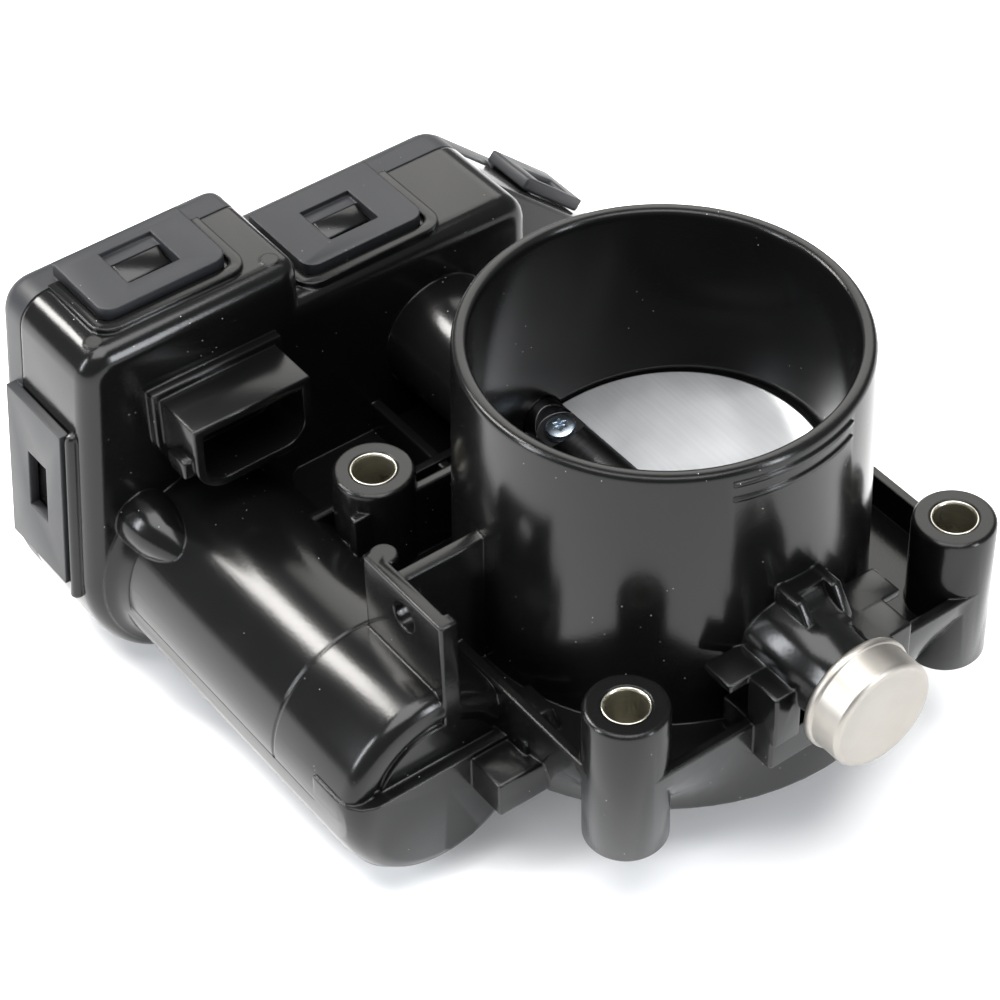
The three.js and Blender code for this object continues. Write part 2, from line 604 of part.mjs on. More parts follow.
function throttleHousing() {
  const outside = join(
    tubeBody(), flangeBody(), shaftBosses(), shaftLedges(), forkRibs(), motorBarrel(), barrelLinks(), bracketPlate(),
    gearPan(), prismX(connectorOutline(0), gearCase.floorX, connector.mouthX),
  );
  const w = connector.pinW / 2 + FIT_GAP;
  const pinCuts = pinPlaces().map((y) =>
    box(gearCase.floorX - CUT_THROUGH, -66, y - w, y + w, connector.pinZ - w, connector.pinZ + w),
  );
  const screwR = holeR(motorScrew.r + FIT_GAP, FACETS.pin);
  const screwHoles = [0, 180].map((turn) =>
    cylinderX(screwR, -75, gearCase.floorX + motorScrew.length, ...screwPlace(turn), FACETS.pin),
  );
  const sealGroove = coverSeal.inset;
  const groove = prismX(caseOutline(sealGroove), gearCase.seamX - 1, gearCase.seamX + coverSeal.depth).subtract(
    prismX(caseOutline(sealGroove + coverSeal.width), gearCase.seamX - 2, gearCase.seamX + coverSeal.depth + 1),
  );
  return cut(
    outside,
    boreCut(),
    shaftLineCut(),
    prismX(caseOutline(gearCase.wall), gearCase.seamX - CUT_THROUGH, gearCase.floorX),
    cylinderX(barrel.cavityR, gearCase.floorX - CUT_THROUGH, barrel.cavityEnd, motor.y, motor.z, FACETS.drum),
    prismX(connectorOutline(connector.wall), -67.5, connector.mouthX + CUT_THROUGH),
    ...pinCuts,
    ...screwHoles,
    ...boltPlaces().map(([x, y]) =>
      cylinderZ(holeR(sleeve.outerR + FIT_GAP, FACETS.boss), -CUT_THROUGH, bolt.top + CUT_THROUGH, x, y),
    ),
    ringZ(manifoldSeal.innerR, manifoldSeal.outerR, -CUT_THROUGH, manifoldSeal.depth),
    axleSeat(gearCase.floorX - 1, gearCase.floorX + idler.footDepth),
    groove,
  );
}

// ---- Cover and seals ----

// A flat hook of the cover that reaches over the pan, with a window for the catch.
function topHook(clip, top) {
  const [x0, x1, y0, y1] = clip.window;
  const z0 = top + clip.gap;
  const hook = box(clip.x0, clip.x1, clip.y0, clip.y1, z0, z0 + clip.t);
  const root = box(clip.x0, gearCase.seamX, clip.y0, clip.y1, top - gearCase.wall, z0 + clip.t);
  return cut(join(hook, root), box(x0, x1, y0, y1, z0 - 1, z0 + clip.t + 1));
}

function sideHook(clip) {
  const [x0, x1, z0, z1] = clip.window;
  const lean = radians(gearCase.lean);
  const face = (z) => motor.y - (gearCase.motorR - (z - motor.z) * Math.sin(lean)) / Math.cos(lean);
  const [low, high] = [face(clip.z0), face(clip.z1)];
  const slab = (inner, outer, xa, xb) => {
    const outline = [[low - outer, clip.z0], [low - inner, clip.z0], [high - inner, clip.z1], [high - outer, clip.z1]];
    return prismX(outline, xa, xb);
  };
  const hook = slab(clip.gap, clip.gap + clip.t, clip.x0, clip.x1);
  const root = slab(-gearCase.wall, clip.gap + clip.t, clip.x0, gearCase.seamX);
  return cut(join(hook, root), box(x0, x1, -120, -80, z0, z1));
}

function gearCover() {
  const outside = loft([
    caseRing(gearCase.seamX, 0), caseRing(gearCase.backX + gearCase.edgeR, 0),
    caseRing(gearCase.backX + 0.3 * gearCase.edgeR, 0.3 * gearCase.edgeR), caseRing(gearCase.backX, gearCase.edgeR),
  ]);
  const inside = prismX(caseOutline(gearCase.wall), gearCase.roofX, gearCase.seamX + CUT_THROUGH);
  const hooks = [topHook(topClip, gearCase.topLeft), topHook(lowClip, gearCase.topRight), sideHook(sideClip),
    slopeHook(slopeClip)];
  const wingBody = prismX(wingOutline(), gearCase.backX, gearCase.seamX);
  const pocket = prismX(wingPocket(), gearCase.roofX, gearCase.seamX + CUT_THROUGH);
  const shell = cut(join(outside, wingBody, ...hooks), inside, pocket);
  const seat = cylinderX(idler.capR, gearCase.roofX - SINK, idler.capX, idlerPlace.y, idlerPlace.z, FACETS.pin);
  return cut(join(shell, seat), axleSeat(gearCase.roofX - 0.5, idler.capX + 1));
}

function coverSealRing() {
  const a = coverSeal.inset + FIT_GAP;
  const b = coverSeal.inset + coverSeal.width - FIT_GAP;
  const x1 = gearCase.seamX + coverSeal.depth - FIT_GAP;
  return cut(prismX(caseOutline(a), gearCase.seamX, x1), prismX(caseOutline(b), gearCase.seamX - 1, x1 + 1));
}

function manifoldSealRing() {
  return ringZ(manifoldSeal.innerR + 0.1, manifoldSeal.outerR - 0.1, -manifoldSeal.proud, manifoldSeal.depth - FIT_GAP);
}

function mountingSleeve([x, y]) {
  const outer = cylinderZ(sleeve.outerR, 0, bolt.top, x, y);
  return cut(outer, cylinderZ(sleeve.innerR, -1, bolt.top + 1, x, y));
}

function shaftEndCap() {
  const c = endCap;
  const lipR = c.r + c.lip;
  const inner = holeR(shaftBoss.r + FIT_GAP, FACETS.drum);
  return turnedX(
    [
      [0, c.face], [c.r - c.bevel, c.face], [c.r, c.face - c.bevel], [c.r, c.lipX + c.lipW], [lipR, c.lipX + c.lipW],
      [lipR, c.lipX], [inner, c.lipX], [inner, c.face - c.wall], [0, c.face - c.wall], [0, c.face],
    ],
    shaft.y, shaft.z,
  );
}

// A plain ring round the throttle shaft.
function shaftRing(innerR, outerR, x0, x1) {
  return ringX(innerR, outerR, x0, x1, shaft.y, shaft.z, FACETS.drum);
}

function shaftSealAt(x) {
  return shaftRing(shaft.r + RUN_GAP, shaftSeal.outerR, x, x + shaftSeal.length);
}

function bearingBalls() {
  const middle = (ballBearing.outerRaceR + ballBearing.innerRaceR) / 2;
  const x = gearCase.floorX + ballBearing.width / 2;
  const cage = ringX(middle - 0.4, middle + 0.4, x - 1.2, x + 1.2, shaft.y, shaft.z);
  const balls = Array.from({ length: ballBearing.balls }, (_, i) => {
    const t = (2 * Math.PI * i) / ballBearing.balls;
    const ball = new THREE.SphereGeometry(ballBearing.ballR, FACETS.ball, FACETS.ball / 2);
    ball.translate(x, shaft.y + middle * Math.cos(t), shaft.z + middle * Math.sin(t));
    return solid(ball);
  });
  return join(cage, ...balls);
}

function intermediateAxle() {
  const footX = gearCase.floorX + idler.footDepth;
  return cylinderX(idler.axleR, gearCase.roofX, footX, idlerPlace.y, idlerPlace.z, FACETS.pin);
}

// ---- Motor ----

function motorCan() {
  const inner = can.r - can.wall;
  const hole = can.shaftHole;
  return turnedX(
    [[inner, can.open], [can.r, can.open], [can.r, can.end], [hole, can.end], [hole, can.end - can.wall],
      [inner, can.end - can.wall], [inner, can.open]],
    motor.y, motor.z,
  );
}

// The motor's front plate: a disc in the mouth of the barrel with two screwed ears.
function motorEndBell() {
  const plateX0 = gearCase.floorX - 1.6;
  const disc = cylinderX(can.r, plateX0, can.open, motor.y, motor.z, FACETS.drum);
  const [ya, za] = screwPlace(0);
  const [yb, zb] = screwPlace(180);
  const ears = [[ya, za], [yb, zb]].map(([y, z]) => cylinderX(motorScrew.earR, plateX0, gearCase.floorX, y, z, FACETS.pin));
  const t = radians(motorScrew.angle);
  const [c, s] = [Math.cos(t), Math.sin(t)];
  const reach = motorScrew.ring;
  const w = motorScrew.earR;
  const strap = prismX(
    [[reach * c - w * s, reach * s + w * c], [-reach * c - w * s, -reach * s + w * c],
      [-reach * c + w * s, -reach * s - w * c], [reach * c + w * s, reach * s - w * c]].map(([y, z]) => [motor.y + y, motor.z + z]),
    plateX0, gearCase.floorX,
  );
  const shaftHole = cylinderX(holeR(rotor.shaftR + RUN_GAP, FACETS.pin), -80, -60, motor.y, motor.z, FACETS.pin);
  const screws = [[ya, za], [yb, zb]].map(([y, z]) =>
    cylinderX(holeR(motorScrew.r + FIT_GAP, FACETS.pin), -80, -70, y, z, FACETS.pin),
  );
  return cut(join(disc, strap, ...ears), shaftHole, ...screws);
}

function motorScrewSolid(turn) {
  const [y, z] = screwPlace(turn);
  const seat = gearCase.floorX - 1.6;
  const head = cylinderX(motorScrew.headR, seat - motorScrew.headH, seat, y, z, FACETS.pin);
  const shank = cylinderX(motorScrew.r, seat - 0.5, seat + motorScrew.length, y, z, FACETS.pin);
  return cut(join(head, shank), cylinderX(1, seat - 3, seat - 0.8, y, z, 6));
}

function motorMagnet(turn) {
  const outerR = can.r - can.wall - FIT_GAP;
  const half = magnet.halfSpan;
  const outline = [
    ...arc(motor.y, motor.z, outerR * Math.cos(Math.PI / FACETS.drum), turn - half, turn + half, 16),
    ...arc(motor.y, motor.z, magnet.innerR, turn + half, turn - half, 16),
  ];
  return prismX(outline, magnet.x0, magnet.x1);
}

function armatureOutline() {
  const step = 360 / rotor.slots;
  const points = [];
  for (let i = 0; i < rotor.slots; i++) {
    const middle = i * step;
    const halfOuter = THREE.MathUtils.radToDeg(Math.asin(rotor.slotW / 2 / rotor.coreR));
    const halfRoot = THREE.MathUtils.radToDeg(Math.asin(rotor.slotW / 2 / rotor.slotRoot));
    points.push(...arc(motor.y, motor.z, rotor.coreR, middle - step / 2 + halfOuter, middle + step / 2 - halfOuter, 3));
    points.push(...arc(motor.y, motor.z, rotor.slotRoot, middle + step / 2 - halfRoot, middle + step / 2 + halfRoot, 1));
  }
  return points;
}

function armatureCore() {
  const hole = cylinderX(holeR(rotor.shaftR + FIT_GAP, FACETS.pin), -80, 20, motor.y, motor.z, FACETS.pin);
  return cut(prismX(armatureOutline(), rotor.coreX0, rotor.coreX1), hole);
}

// Copper windings: a ring of end turns at each end of the core, joined by a bundle in every slot.
function armatureWinding() {
  const innerR = rotor.shaftR + 1;
  const ends = [[rotor.coreX0 - 3.3, rotor.coreX0 - 0.3], [rotor.coreX1 + 0.3, rotor.coreX1 + 3.3]].map(([x0, x1]) =>
    ringX(innerR, rotor.coreR - 1.2, x0, x1, motor.y, motor.z),
  );
  const half = rotor.slotW / 2 - 0.35;
  const bundles = Array.from({ length: rotor.slots }, (_, i) => {
    const bar = new THREE.BoxGeometry(rotor.coreX1 - rotor.coreX0 + 4, rotor.coreR - 1.6 - rotor.slotRoot - 0.4, 2 * half);
    bar.translate(0, (rotor.coreR - 1.6 + rotor.slotRoot + 0.4) / 2, 0);
    bar.rotateX(radians((i + 0.5) * (360 / rotor.slots)));
    bar.translate((rotor.coreX0 + rotor.coreX1) / 2, motor.y, motor.z);
    return solid(bar);
  });
  return join(...ends, ...bundles);
}

function commutatorRing() {
  const hole = holeR(rotor.shaftR + FIT_GAP, FACETS.pin);
  return ringX(hole, commutator.r, commutator.x0, commutator.x1, motor.y, motor.z, FACETS.pin);
}

function brushBlock(sign) {
  const x = (commutator.x0 + commutator.x1) / 2;
  const y = motor.y + sign * (commutator.r + REST_GAP + brush.length / 2);
  const [w, l, h] = [brush.w / 2, brush.length / 2, brush.h / 2];
  return box(x - w, x + w, y - l, y + l, motor.z - h, motor.z + h);
}

// The card that carries the brushes: a ring with two arms, held in the can's mouth.
function brushCard() {
  const x0 = can.open + 0.1;
  const x1 = commutator.x0 + 1.2;
  const inner = commutator.r + 1.2;
  const ring = ringX(inner, can.r - can.wall - FIT_GAP, x0, x1, motor.y, motor.z, FACETS.drum);
  const guides = [-1, 1].map((sign) => {
    const y = motor.y + sign * (commutator.r + 3.6);
    return join(
      box(x1 - 0.5, -59.8, y - 2, y + 2, motor.z + brush.h / 2 + 0.2, motor.z + brush.h / 2 + 1.4),
      box(x1 - 0.5, -59.8, y - 2, y + 2, motor.z - brush.h / 2 - 1.4, motor.z - brush.h / 2 - 0.2),
    );
  });
  return join(ring, ...guides);
}

function waveSpring() {
  return ringX(13.6, 16.6, can.end + 0.3, barrel.cavityEnd - 0.3, motor.y, motor.z, FACETS.drum);
}

function motorShaft() {
  return cylinderX(rotor.shaftR, layer.pinion[0], can.end + 1.6, motor.y, motor.z, FACETS.pin);
}

// ---- Gears ----

// The half angle, at radius r, of an involute tooth thinned for backlash.
function toothHalfAngle(count, r) {
  const pitchR = (gear.module * count) / 2;
  const baseR = pitchR * Math.cos(radians(gear.pressure));
  const involute = (radius) => {
    const a = Math.acos(Math.min(1, baseR / radius));
    return Math.tan(a) - a;
  };
  return (gear.thin * Math.PI) / (2 * count) + involute(pitchR) - involute(Math.max(r, baseR));
}

// A tooth's outline, from one root to the next, centred on an angle given in radians.
function toothPoints(count, middle, place) {
  const rootR = (gear.module * count) / 2 - gear.module * gear.dedendum;
  const tipR = rootR + gear.module * (gear.dedendum + gear.addendum);
  const radii = [rootR, tipR];
  const flank = radii.map((r) => [r, Math.max(toothHalfAngle(count, r), 0.06 / r)]);
  const at = (r, t) => [place.y + r * Math.cos(t), place.z + r * Math.sin(t)];
  return [
    ...flank.map(([r, half]) => at(r, middle - half)),
    ...[...flank].reverse().map(([r, half]) => at(r, middle + half)),
  ];
}

function gearOutline(count, firstDeg, place) {
  const turn = (i) => radians(firstDeg) + (2 * Math.PI * i) / count;
  return Array.from({ length: count }, (_, i) => toothPoints(count, turn(i), place)).flat();
}

const meshDeg = {
  smallAtShaft: bearingDeg(idlerPlace, shaft),
  sectorAtIdler: bearingDeg(shaft, idlerPlace),
  bigAtMotor: bearingDeg(idlerPlace, motor),
  pinionAtIdler: bearingDeg(motor, idlerPlace),
};

function intermediateGear() {
  const big = prismX(gearOutline(teeth.idlerBig, meshDeg.bigAtMotor, idlerPlace), ...layer.idlerBig);
  const small = prismX(gearOutline(teeth.idlerSmall, meshDeg.smallAtShaft, idlerPlace), ...layer.idlerSmall);
  const hub = cylinderX(idler.hubR, idler.capX + 0.4, idler.hubEnd, idlerPlace.y, idlerPlace.z, FACETS.pin);
  const pocket = ringX(15.5, 24, layer.idlerBig[0] - 1, layer.idlerBig[0] + 2.4, idlerPlace.y, idlerPlace.z);
  const axle = cylinderX(holeR(idler.axleR + RUN_GAP, FACETS.pin), -105, -70, idlerPlace.y, idlerPlace.z, FACETS.pin);
  return cut(join(big, small, hub), pocket, axle);
}

function motorPinion() {
  const outline = gearOutline(teeth.pinion, meshDeg.pinionAtIdler + 180 / teeth.pinion, motor);
  const hole = cylinderX(holeR(rotor.shaftR + FIT_GAP, FACETS.pin), -110, -80, motor.y, motor.z, FACETS.pin);
  return cut(prismX(outline, ...layer.pinion), hole);
}

// The toothed sector on the throttle shaft, with its hub and a lug for the spring.
function sectorGear() {
  const step = 360 / teeth.sector;
  const first = bearingDeg(shaft, idlerPlace) + 360 + step / 2;
  const [fromDeg, toDeg] = sector.armDeg;
  const indices = Array.from({ length: teeth.sector }, (_, i) => i);
  const angles = indices.map((i) => (first + i * step) % 360).filter((t) => t > fromDeg && t < toDeg);
  angles.sort((a, b) => a - b);
  const rootR = (gear.module * teeth.sector) / 2 - gear.module * gear.dedendum;
  const edge = [fromDeg, toDeg].map((t) => [shaft.y + rootR * Math.cos(radians(t)), shaft.z + rootR * Math.sin(radians(t))]);
  const rim = [
    [shaft.y, shaft.z], edge[0], ...angles.flatMap((t) => toothPoints(teeth.sector, radians(t), shaft)), edge[1],
  ];
  const hub = cylinderX(sector.hubR, ...sector.hubEnds, shaft.y, shaft.z, FACETS.drum);
  const bore = cylinderX(holeR(shaft.r + FIT_GAP, FACETS.drum), -110, -80, shaft.y, shaft.z, FACETS.drum);
  const lug = box(layer.sector[1] - 1, layer.sector[1] + 1.3, shaft.y - 1.5, shaft.y + 1.5, shaft.z - spring.r - 0.2, shaft.z - sector.hubR + 0.6);
  return cut(join(prismX(rim, ...layer.sector), hub, lug), bore);
}

// ---- Throttle shaft, plate and their fasteners, drawn about the shaft's own axis with the plate level ----

function throttleShaft() {
  const rod = cylinderX(shaft.r, shaft.minusEnd, shaft.plusEnd, 0, 0, FACETS.drum);
  const half = plate.thickness / 2 + plate.slotGap;
  const slot = box(-plate.r - REST_GAP, plate.r + REST_GAP, -shaft.r - 1, shaft.r + 1, -half, half);
  const flats = [-1, 1].map((sign) => {
    const x = sign * plateScrew.x;
    return box(x - 5.4, x + 5.4, -shaft.r - 1, shaft.r + 1, shaft.r - shaft.flatDepth, shaft.r + 1);
  });
  const holes = [-1, 1].map((sign) =>
    cylinderZ(holeR(plateScrew.shankR + FIT_GAP, FACETS.pin), -shaft.r - 1, shaft.r + 1, sign * plateScrew.x, 0, FACETS.pin),
  );
  return cut(rod, slot, ...flats, ...holes);
}

function throttlePlate() {
  const disc = cylinderZ(plate.r, -plate.thickness / 2, plate.thickness / 2, 0, plate.edgeOffset, FACETS.bore);
  const holes = [-1, 1].map((sign) =>
    cylinderZ(holeR(plateScrew.shankR + FIT_GAP, FACETS.pin), -4, 4, sign * plateScrew.x, 0, FACETS.pin),
  );
  return cut(disc, ...holes);
}

function plateScrewSolid(sign) {
  const x = sign * plateScrew.x;
  const seat = shaft.r - shaft.flatDepth;
  const head = cylinderZ(plateScrew.headR, seat, seat + plateScrew.headH, x, 0, FACETS.pin);
  const shank = cylinderZ(plateScrew.shankR, seat - plateScrew.shankL, seat + 0.5, x, 0, FACETS.pin);
  const drive = cylinderZ(plateScrew.driveR, seat + plateScrew.headH - plateScrew.driveDepth, seat + 4, x, 0, 6);
  return cut(join(head, shank), drive);
}

// ---- Sensor and spring ----

function sensorBoard() {
  const x0 = gearCase.roofX;
  const x1 = x0 + sensor.boardT;
  return join(box(x0, x1, -70, 6, 36, 49), box(x0, x1, -12, 6, shaft.z - 9, 37));
}

function returnSpring() {
  const points = [];
  const steps = spring.turns * spring.stepsPerTurn;
  for (let i = 0; i <= steps; i++) {
    const t = (2 * Math.PI * i) / spring.stepsPerTurn - Math.PI / 2;
    const x = spring.x0 + ((spring.x1 - spring.x0) * i) / steps;
    points.push(new THREE.Vector3(x, shaft.y + spring.r * Math.cos(t), shaft.z + spring.r * Math.sin(t)));
  }
  const path = new THREE.CatmullRomCurve3(points);
  const section = new THREE.Shape();
  section.absarc(0, 0, spring.wireR, 0, 2 * Math.PI, false);
  const coil = new THREE.ExtrudeGeometry(section, { steps, extrudePath: path, bevelEnabled: false, curveSegments: 3 });
  return solid(coil);
}

// ---- Assembly ----

const finishes = {
  housing: { color: 0x17181a, roughness: 0.28, metalness: 0 },
  cover: { color: 0x1e1f21, roughness: 0.45, metalness: 0 },
  rubber: { color: 0x101010, roughness: 0.8, metalness: 0 },
  zinc: { color: 0xb9b6a4, roughness: 0.35, metalness: 1 },
  nickel: { color: 0xc9c4b8, roughness: 0.32, metalness: 1 },
  steel: { color: 0xa2a5aa, roughness: 0.3, metalness: 1 },
  darkSteel: { color: 0x3a3b3d, roughness: 0.4, metalness: 1 },
  aluminium: { color: 0xcfd1d3, roughness: 0.35, metalness: 1 },
  copper: { color: 0xb5693a, roughness: 0.4, metalness: 1 },
  carbon: { color: 0x262626, roughness: 0.7, metalness: 0 },
  nylon: { color: 0xd9d5c6, roughness: 0.5, metalness: 0 },
  board: { color: 0x1f4f32, roughness: 0.5, metalness: 0 },
  brass: { color: 0xc6a252, roughness: 0.35, metalness: 1 },
};

function part(name, shape, finish) {
  const mesh = new THREE.Mesh(geometryOf(shape), new THREE.MeshStandardMaterial(finishes[finish]));
  mesh.name = name;
  return mesh;
}

const group = new THREE.Group();
group.add(
  part("throttle_housing", throttleHousing(), "housing"),
  part("gear_cover", gearCover(), "cover"),
  part("cover_seal", coverSealRing(), "rubber"),
  part("manifold_seal", manifoldSealRing(), "rubber"),
  part("shaft_end_cap", shaftEndCap(), "nickel"),
  part("needle_bearing", shaftRing(needle.innerR, needle.outerR, needle.x0, needle.x1), "steel"),
  part("intermediate_axle", intermediateAxle(), "steel"),
  part("motor_can", motorCan(), "steel"),
  part("motor_end_bell", motorEndBell(), "steel"),
  part("brush_card", brushCard(), "nylon"),
  part("motor_wave_spring", waveSpring(), "steel"),
  part("armature_core", armatureCore(), "darkSteel"),
  part("armature_winding", armatureWinding(), "copper"),
  part("commutator", commutatorRing(), "copper"),
  part("motor_shaft", motorShaft(), "steel"),
  part("motor_pinion", motorPinion(), "brass"),
  part("intermediate_gear", intermediateGear(), "nylon"),
  part("sector_gear", sectorGear(), "nylon"),
  part("sensor_magnet", cylinderX(sensor.magnetR, sensor.magnetEnd, shaft.minusEnd, shaft.y, shaft.z), "darkSteel"),
  part("sensor_board", sensorBoard(), "board"),
  part("return_spring", returnSpring(), "steel"),
);

boltPlaces().forEach((place, i) => group.add(part(`mounting_sleeve_${i + 1}`, mountingSleeve(place), "zinc")));

const bearingEnd = gearCase.floorX + ballBearing.width;
const raceBore = holeR(shaft.r + FIT_GAP, FACETS.drum);
group.add(
  part("ball_bearing_outer", shaftRing(ballBearing.outerRaceR, ballBearing.outerR, gearCase.floorX, bearingEnd), "steel"),
  part("ball_bearing_inner", shaftRing(raceBore, ballBearing.innerRaceR, gearCase.floorX, bearingEnd), "steel"),
  part("ball_bearing_balls", bearingBalls(), "steel"),
  part("shaft_seal_gear_side", shaftSealAt(bearingEnd), "rubber"),
  part("shaft_seal_cap_side", shaftSealAt(needle.x0 - FIT_GAP - shaftSeal.length), "rubber"),
);

[0, 180].forEach((turn, i) => {
  group.add(part(`motor_screw_${i + 1}`, motorScrewSolid(turn), "steel"));
  group.add(part(`motor_magnet_${i + 1}`, motorMagnet(turn + 90), "carbon"));
});
[-1, 1].forEach((sign, i) => group.add(part(`brush_${i + 1}`, brushBlock(sign), "carbon")));

pinPlaces().forEach((y, i) => {
  const w = connector.pinW / 2;
  const pin = box(gearCase.roofX + sensor.boardT, connector.pinTip, y - w, y + w, connector.pinZ - w, connector.pinZ + w);
  group.add(part(`connector_pin_${i + 1}`, pin, "brass"));
});

const turning = new THREE.Group();
turning.position.set(0, shaft.y, shaft.z);
turning.rotation.x = radians(plate.limpTilt);
turning.add(
  part("throttle_shaft", throttleShaft(), "darkSteel"),
  part("throttle_plate", throttlePlate(), "aluminium"),
);
[-1, 1].forEach((sign, i) => turning.add(part(`plate_screw_${i + 1}`, plateScrewSolid(sign), "zinc")));
group.add(turning);

export default group;
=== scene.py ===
import json
import math

import bpy
from mathutils import Matrix, Vector


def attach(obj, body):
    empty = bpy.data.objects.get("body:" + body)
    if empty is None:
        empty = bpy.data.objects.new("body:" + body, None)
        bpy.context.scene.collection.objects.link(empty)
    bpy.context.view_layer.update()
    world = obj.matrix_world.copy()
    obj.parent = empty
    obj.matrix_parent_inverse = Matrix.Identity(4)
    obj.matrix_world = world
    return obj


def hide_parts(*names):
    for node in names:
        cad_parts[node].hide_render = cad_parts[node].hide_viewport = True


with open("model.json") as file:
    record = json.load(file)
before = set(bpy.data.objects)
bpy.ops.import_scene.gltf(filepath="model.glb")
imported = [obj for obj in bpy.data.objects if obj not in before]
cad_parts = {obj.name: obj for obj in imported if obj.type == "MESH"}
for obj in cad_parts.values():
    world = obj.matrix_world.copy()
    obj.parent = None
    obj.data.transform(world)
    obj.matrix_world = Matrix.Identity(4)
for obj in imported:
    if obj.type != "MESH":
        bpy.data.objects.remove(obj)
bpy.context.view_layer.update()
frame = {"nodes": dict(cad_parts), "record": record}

# Sizes are in millimetres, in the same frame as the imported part, and become metres as a mesh is made.
MM = 0.001
OVER = 2.0  # how far a cutter runs past the face it opens
SINK = 1.2  # how far joined shapes run into each other

SHAFT = (-2.9, 30.8)  # y and z of the throttle shaft
MOTOR = (-63.7, 4.5)  # y and z of the motor
LIMP_TILT = 9.8  # degrees the plate stands open at its sprung rest
BOLTS = [(40.5, -40.6), (40.5, 40.6), (-40.5, -40.6), (-40.5, 40.6)]
FLANGE_HALF = 48.94
BOSS_TOP = 34.5
BORE_R = 35.3
PLATE_SCREW_X = 28

# The gear case, from the bore side to its far end
FACE_X = -70.5  # outer face towards the bore
FLOOR_X = -73.0  # inner face of that wall
SEAM_X = -95.0  # where the cover meets the pan
ROOF_X = -101.5  # inner face of the cover
BACK_X = -104.0  # outer face of the cover
CASE_WALL = 2.5
CASE_LEAN = 5.3  # degrees the motor side leans
CASE_MOTOR_R = 27.3  # the case's outer radius round the motor
LEFT_TOP = 65.0
RIGHT_TOP = 55.0
STEP_Y = -35.0  # where the case's top steps down

# Motor parts that the housing holds
SCREW_DEG = 130  # angle of the first motor screw
SCREW_CIRCLE = 21.2

PIN_COUNT = 6
PIN_PITCH = 3.3
PIN_Y, PIN_Z = -57.75, 43.0
PIN_HALF = 0.46

# The snap windows of the two top hooks: x from, x to, y from, y to
LEFT_WINDOW = (-91, -83, -67.3, -55.3)
RIGHT_WINDOW = (-88.5, -80.5, -21.8, -9.8)
HOOK_START = -97.6


# ---- Mesh making ----

def deselect():
    bpy.ops.object.select_all(action="DESELECT")


def activate(piece):
    deselect()
    piece.select_set(True)
    bpy.context.view_layer.objects.active = piece


def edit(piece, *steps):
    """Runs edit-mode steps on the whole piece."""
    activate(piece)
    bpy.ops.object.mode_set(mode="EDIT")
    bpy.ops.mesh.select_mode(type="VERT")
    bpy.ops.mesh.select_all(action="SELECT")
    for step in steps:
        step()
    bpy.ops.object.mode_set(mode="OBJECT")


def weld():
    bpy.ops.mesh.remove_doubles(threshold=1e-7)


def face_out():
    bpy.ops.mesh.normals_make_consistent(inside=False)


def skin(name, rings, caps=True):
    """A closed skin through rings of (x, y, z) points that all have the same count."""
    count = len(rings[0])
    deselect()
    bpy.ops.mesh.primitive_grid_add(x_subdivisions=count, y_subdivisions=len(rings) - 1)
    piece = bpy.context.object
    piece.name = name
    points = [ring[i % count] for ring in rings for i in range(count + 1)]
    for vertex, point in zip(piece.data.vertices, points):
        vertex.co = Vector(point) * MM
    if caps:
        edit(piece, weld, cap_ends, face_out)
    else:
        edit(piece, weld, face_out)
    return piece


def cap_ends():
    """Closes each open end with its own face."""
    bpy.ops.mesh.fill_holes(sides=0)


def cyclic(axis, a, b, along):
    """A point from two coordinates across an axis and one along it."""
    if axis == "X":
        return (along, a, b)
    if axis == "Y":
        return (a, along, b)
    return (a, b, along)


def prism(name, outline, start, end, axis="Z"):
    """An outline pushed along an axis from start to end."""
    return skin(name, [[cyclic(axis, a, b, t) for a, b in outline] for t in (start, end)])


def turned(name, profile, centre=(0.0, 0.0), axis="Z", steps=96):
    """A closed profile of (radius, along) turned round an axis; a radius of 0 closes the shape."""
    rings = []
    closed = min(r for r, _ in profile) > 0
    for r, along in profile + (profile[:1] if closed else []):
        ring = []
        for i in range(steps):
            t = 2 * math.pi * i / steps
            a = centre[0] + r * math.cos(t)
            b = centre[1] + r * math.sin(t)
            ring.append(cyclic(axis, a, b, along))
        rings.append(ring)
    return skin(name, rings, caps=False)


def rod(name, r, start, end, centre, axis="X", steps=64):
    return turned(name, [(0, start), (r, start), (r, end), (0, end)], centre, axis, steps)


def block(name, x0, x1, y0, y1, z0, z1, edge=0.4):
    """A box between two corners; an edge of 0 leaves it sharp."""
    deselect()
    middle = ((x0 + x1) / 2 * MM, (y0 + y1) / 2 * MM, (z0 + z1) / 2 * MM)
    bpy.ops.mesh.primitive_cube_add(size=1, location=middle)
    piece = bpy.context.object
    piece.name = name
    piece.scale = ((x1 - x0) * MM, (y1 - y0) * MM, (z1 - z0) * MM)
    bpy.ops.object.transform_apply(location=True, rotation=True, scale=True)
    return soften(piece, edge) if edge else piece


def arc(cy, cz, r, start, end, steps=8):
    """Points on an arc between two angles in degrees."""
    points = []
    for i in range(steps + 1):
        t = math.radians(start + (end - start) * i / steps)
        points.append((cy + r * math.cos(t), cz + r * math.sin(t)))
    return points


def rounded_box(a0, a1, b0, b1, r, steps=6):
    points = arc(a1 - r, b0 + r, r, -90, 0, steps)
    points += arc(a1 - r, b1 - r, r, 0, 90, steps)
    points += arc(a0 + r, b1 - r, r, 90, 180, steps)
    points += arc(a0 + r, b0 + r, r, 180, 270, steps)
    return points


def soften(piece, width, segments=3, angle=35):
    """Rounds the edges that turn by more than an angle."""
    activate(piece)
    bpy.ops.object.modifier_add(type="BEVEL")
    bevel = piece.modifiers[-1]
    bevel.width = width * MM
    bevel.segments = segments
    bevel.limit_method = "ANGLE"
    bevel.angle_limit = math.radians(angle)
    bevel.use_clamp_overlap = True
    bpy.ops.object.modifier_apply(modifier=bevel.name)
    return piece


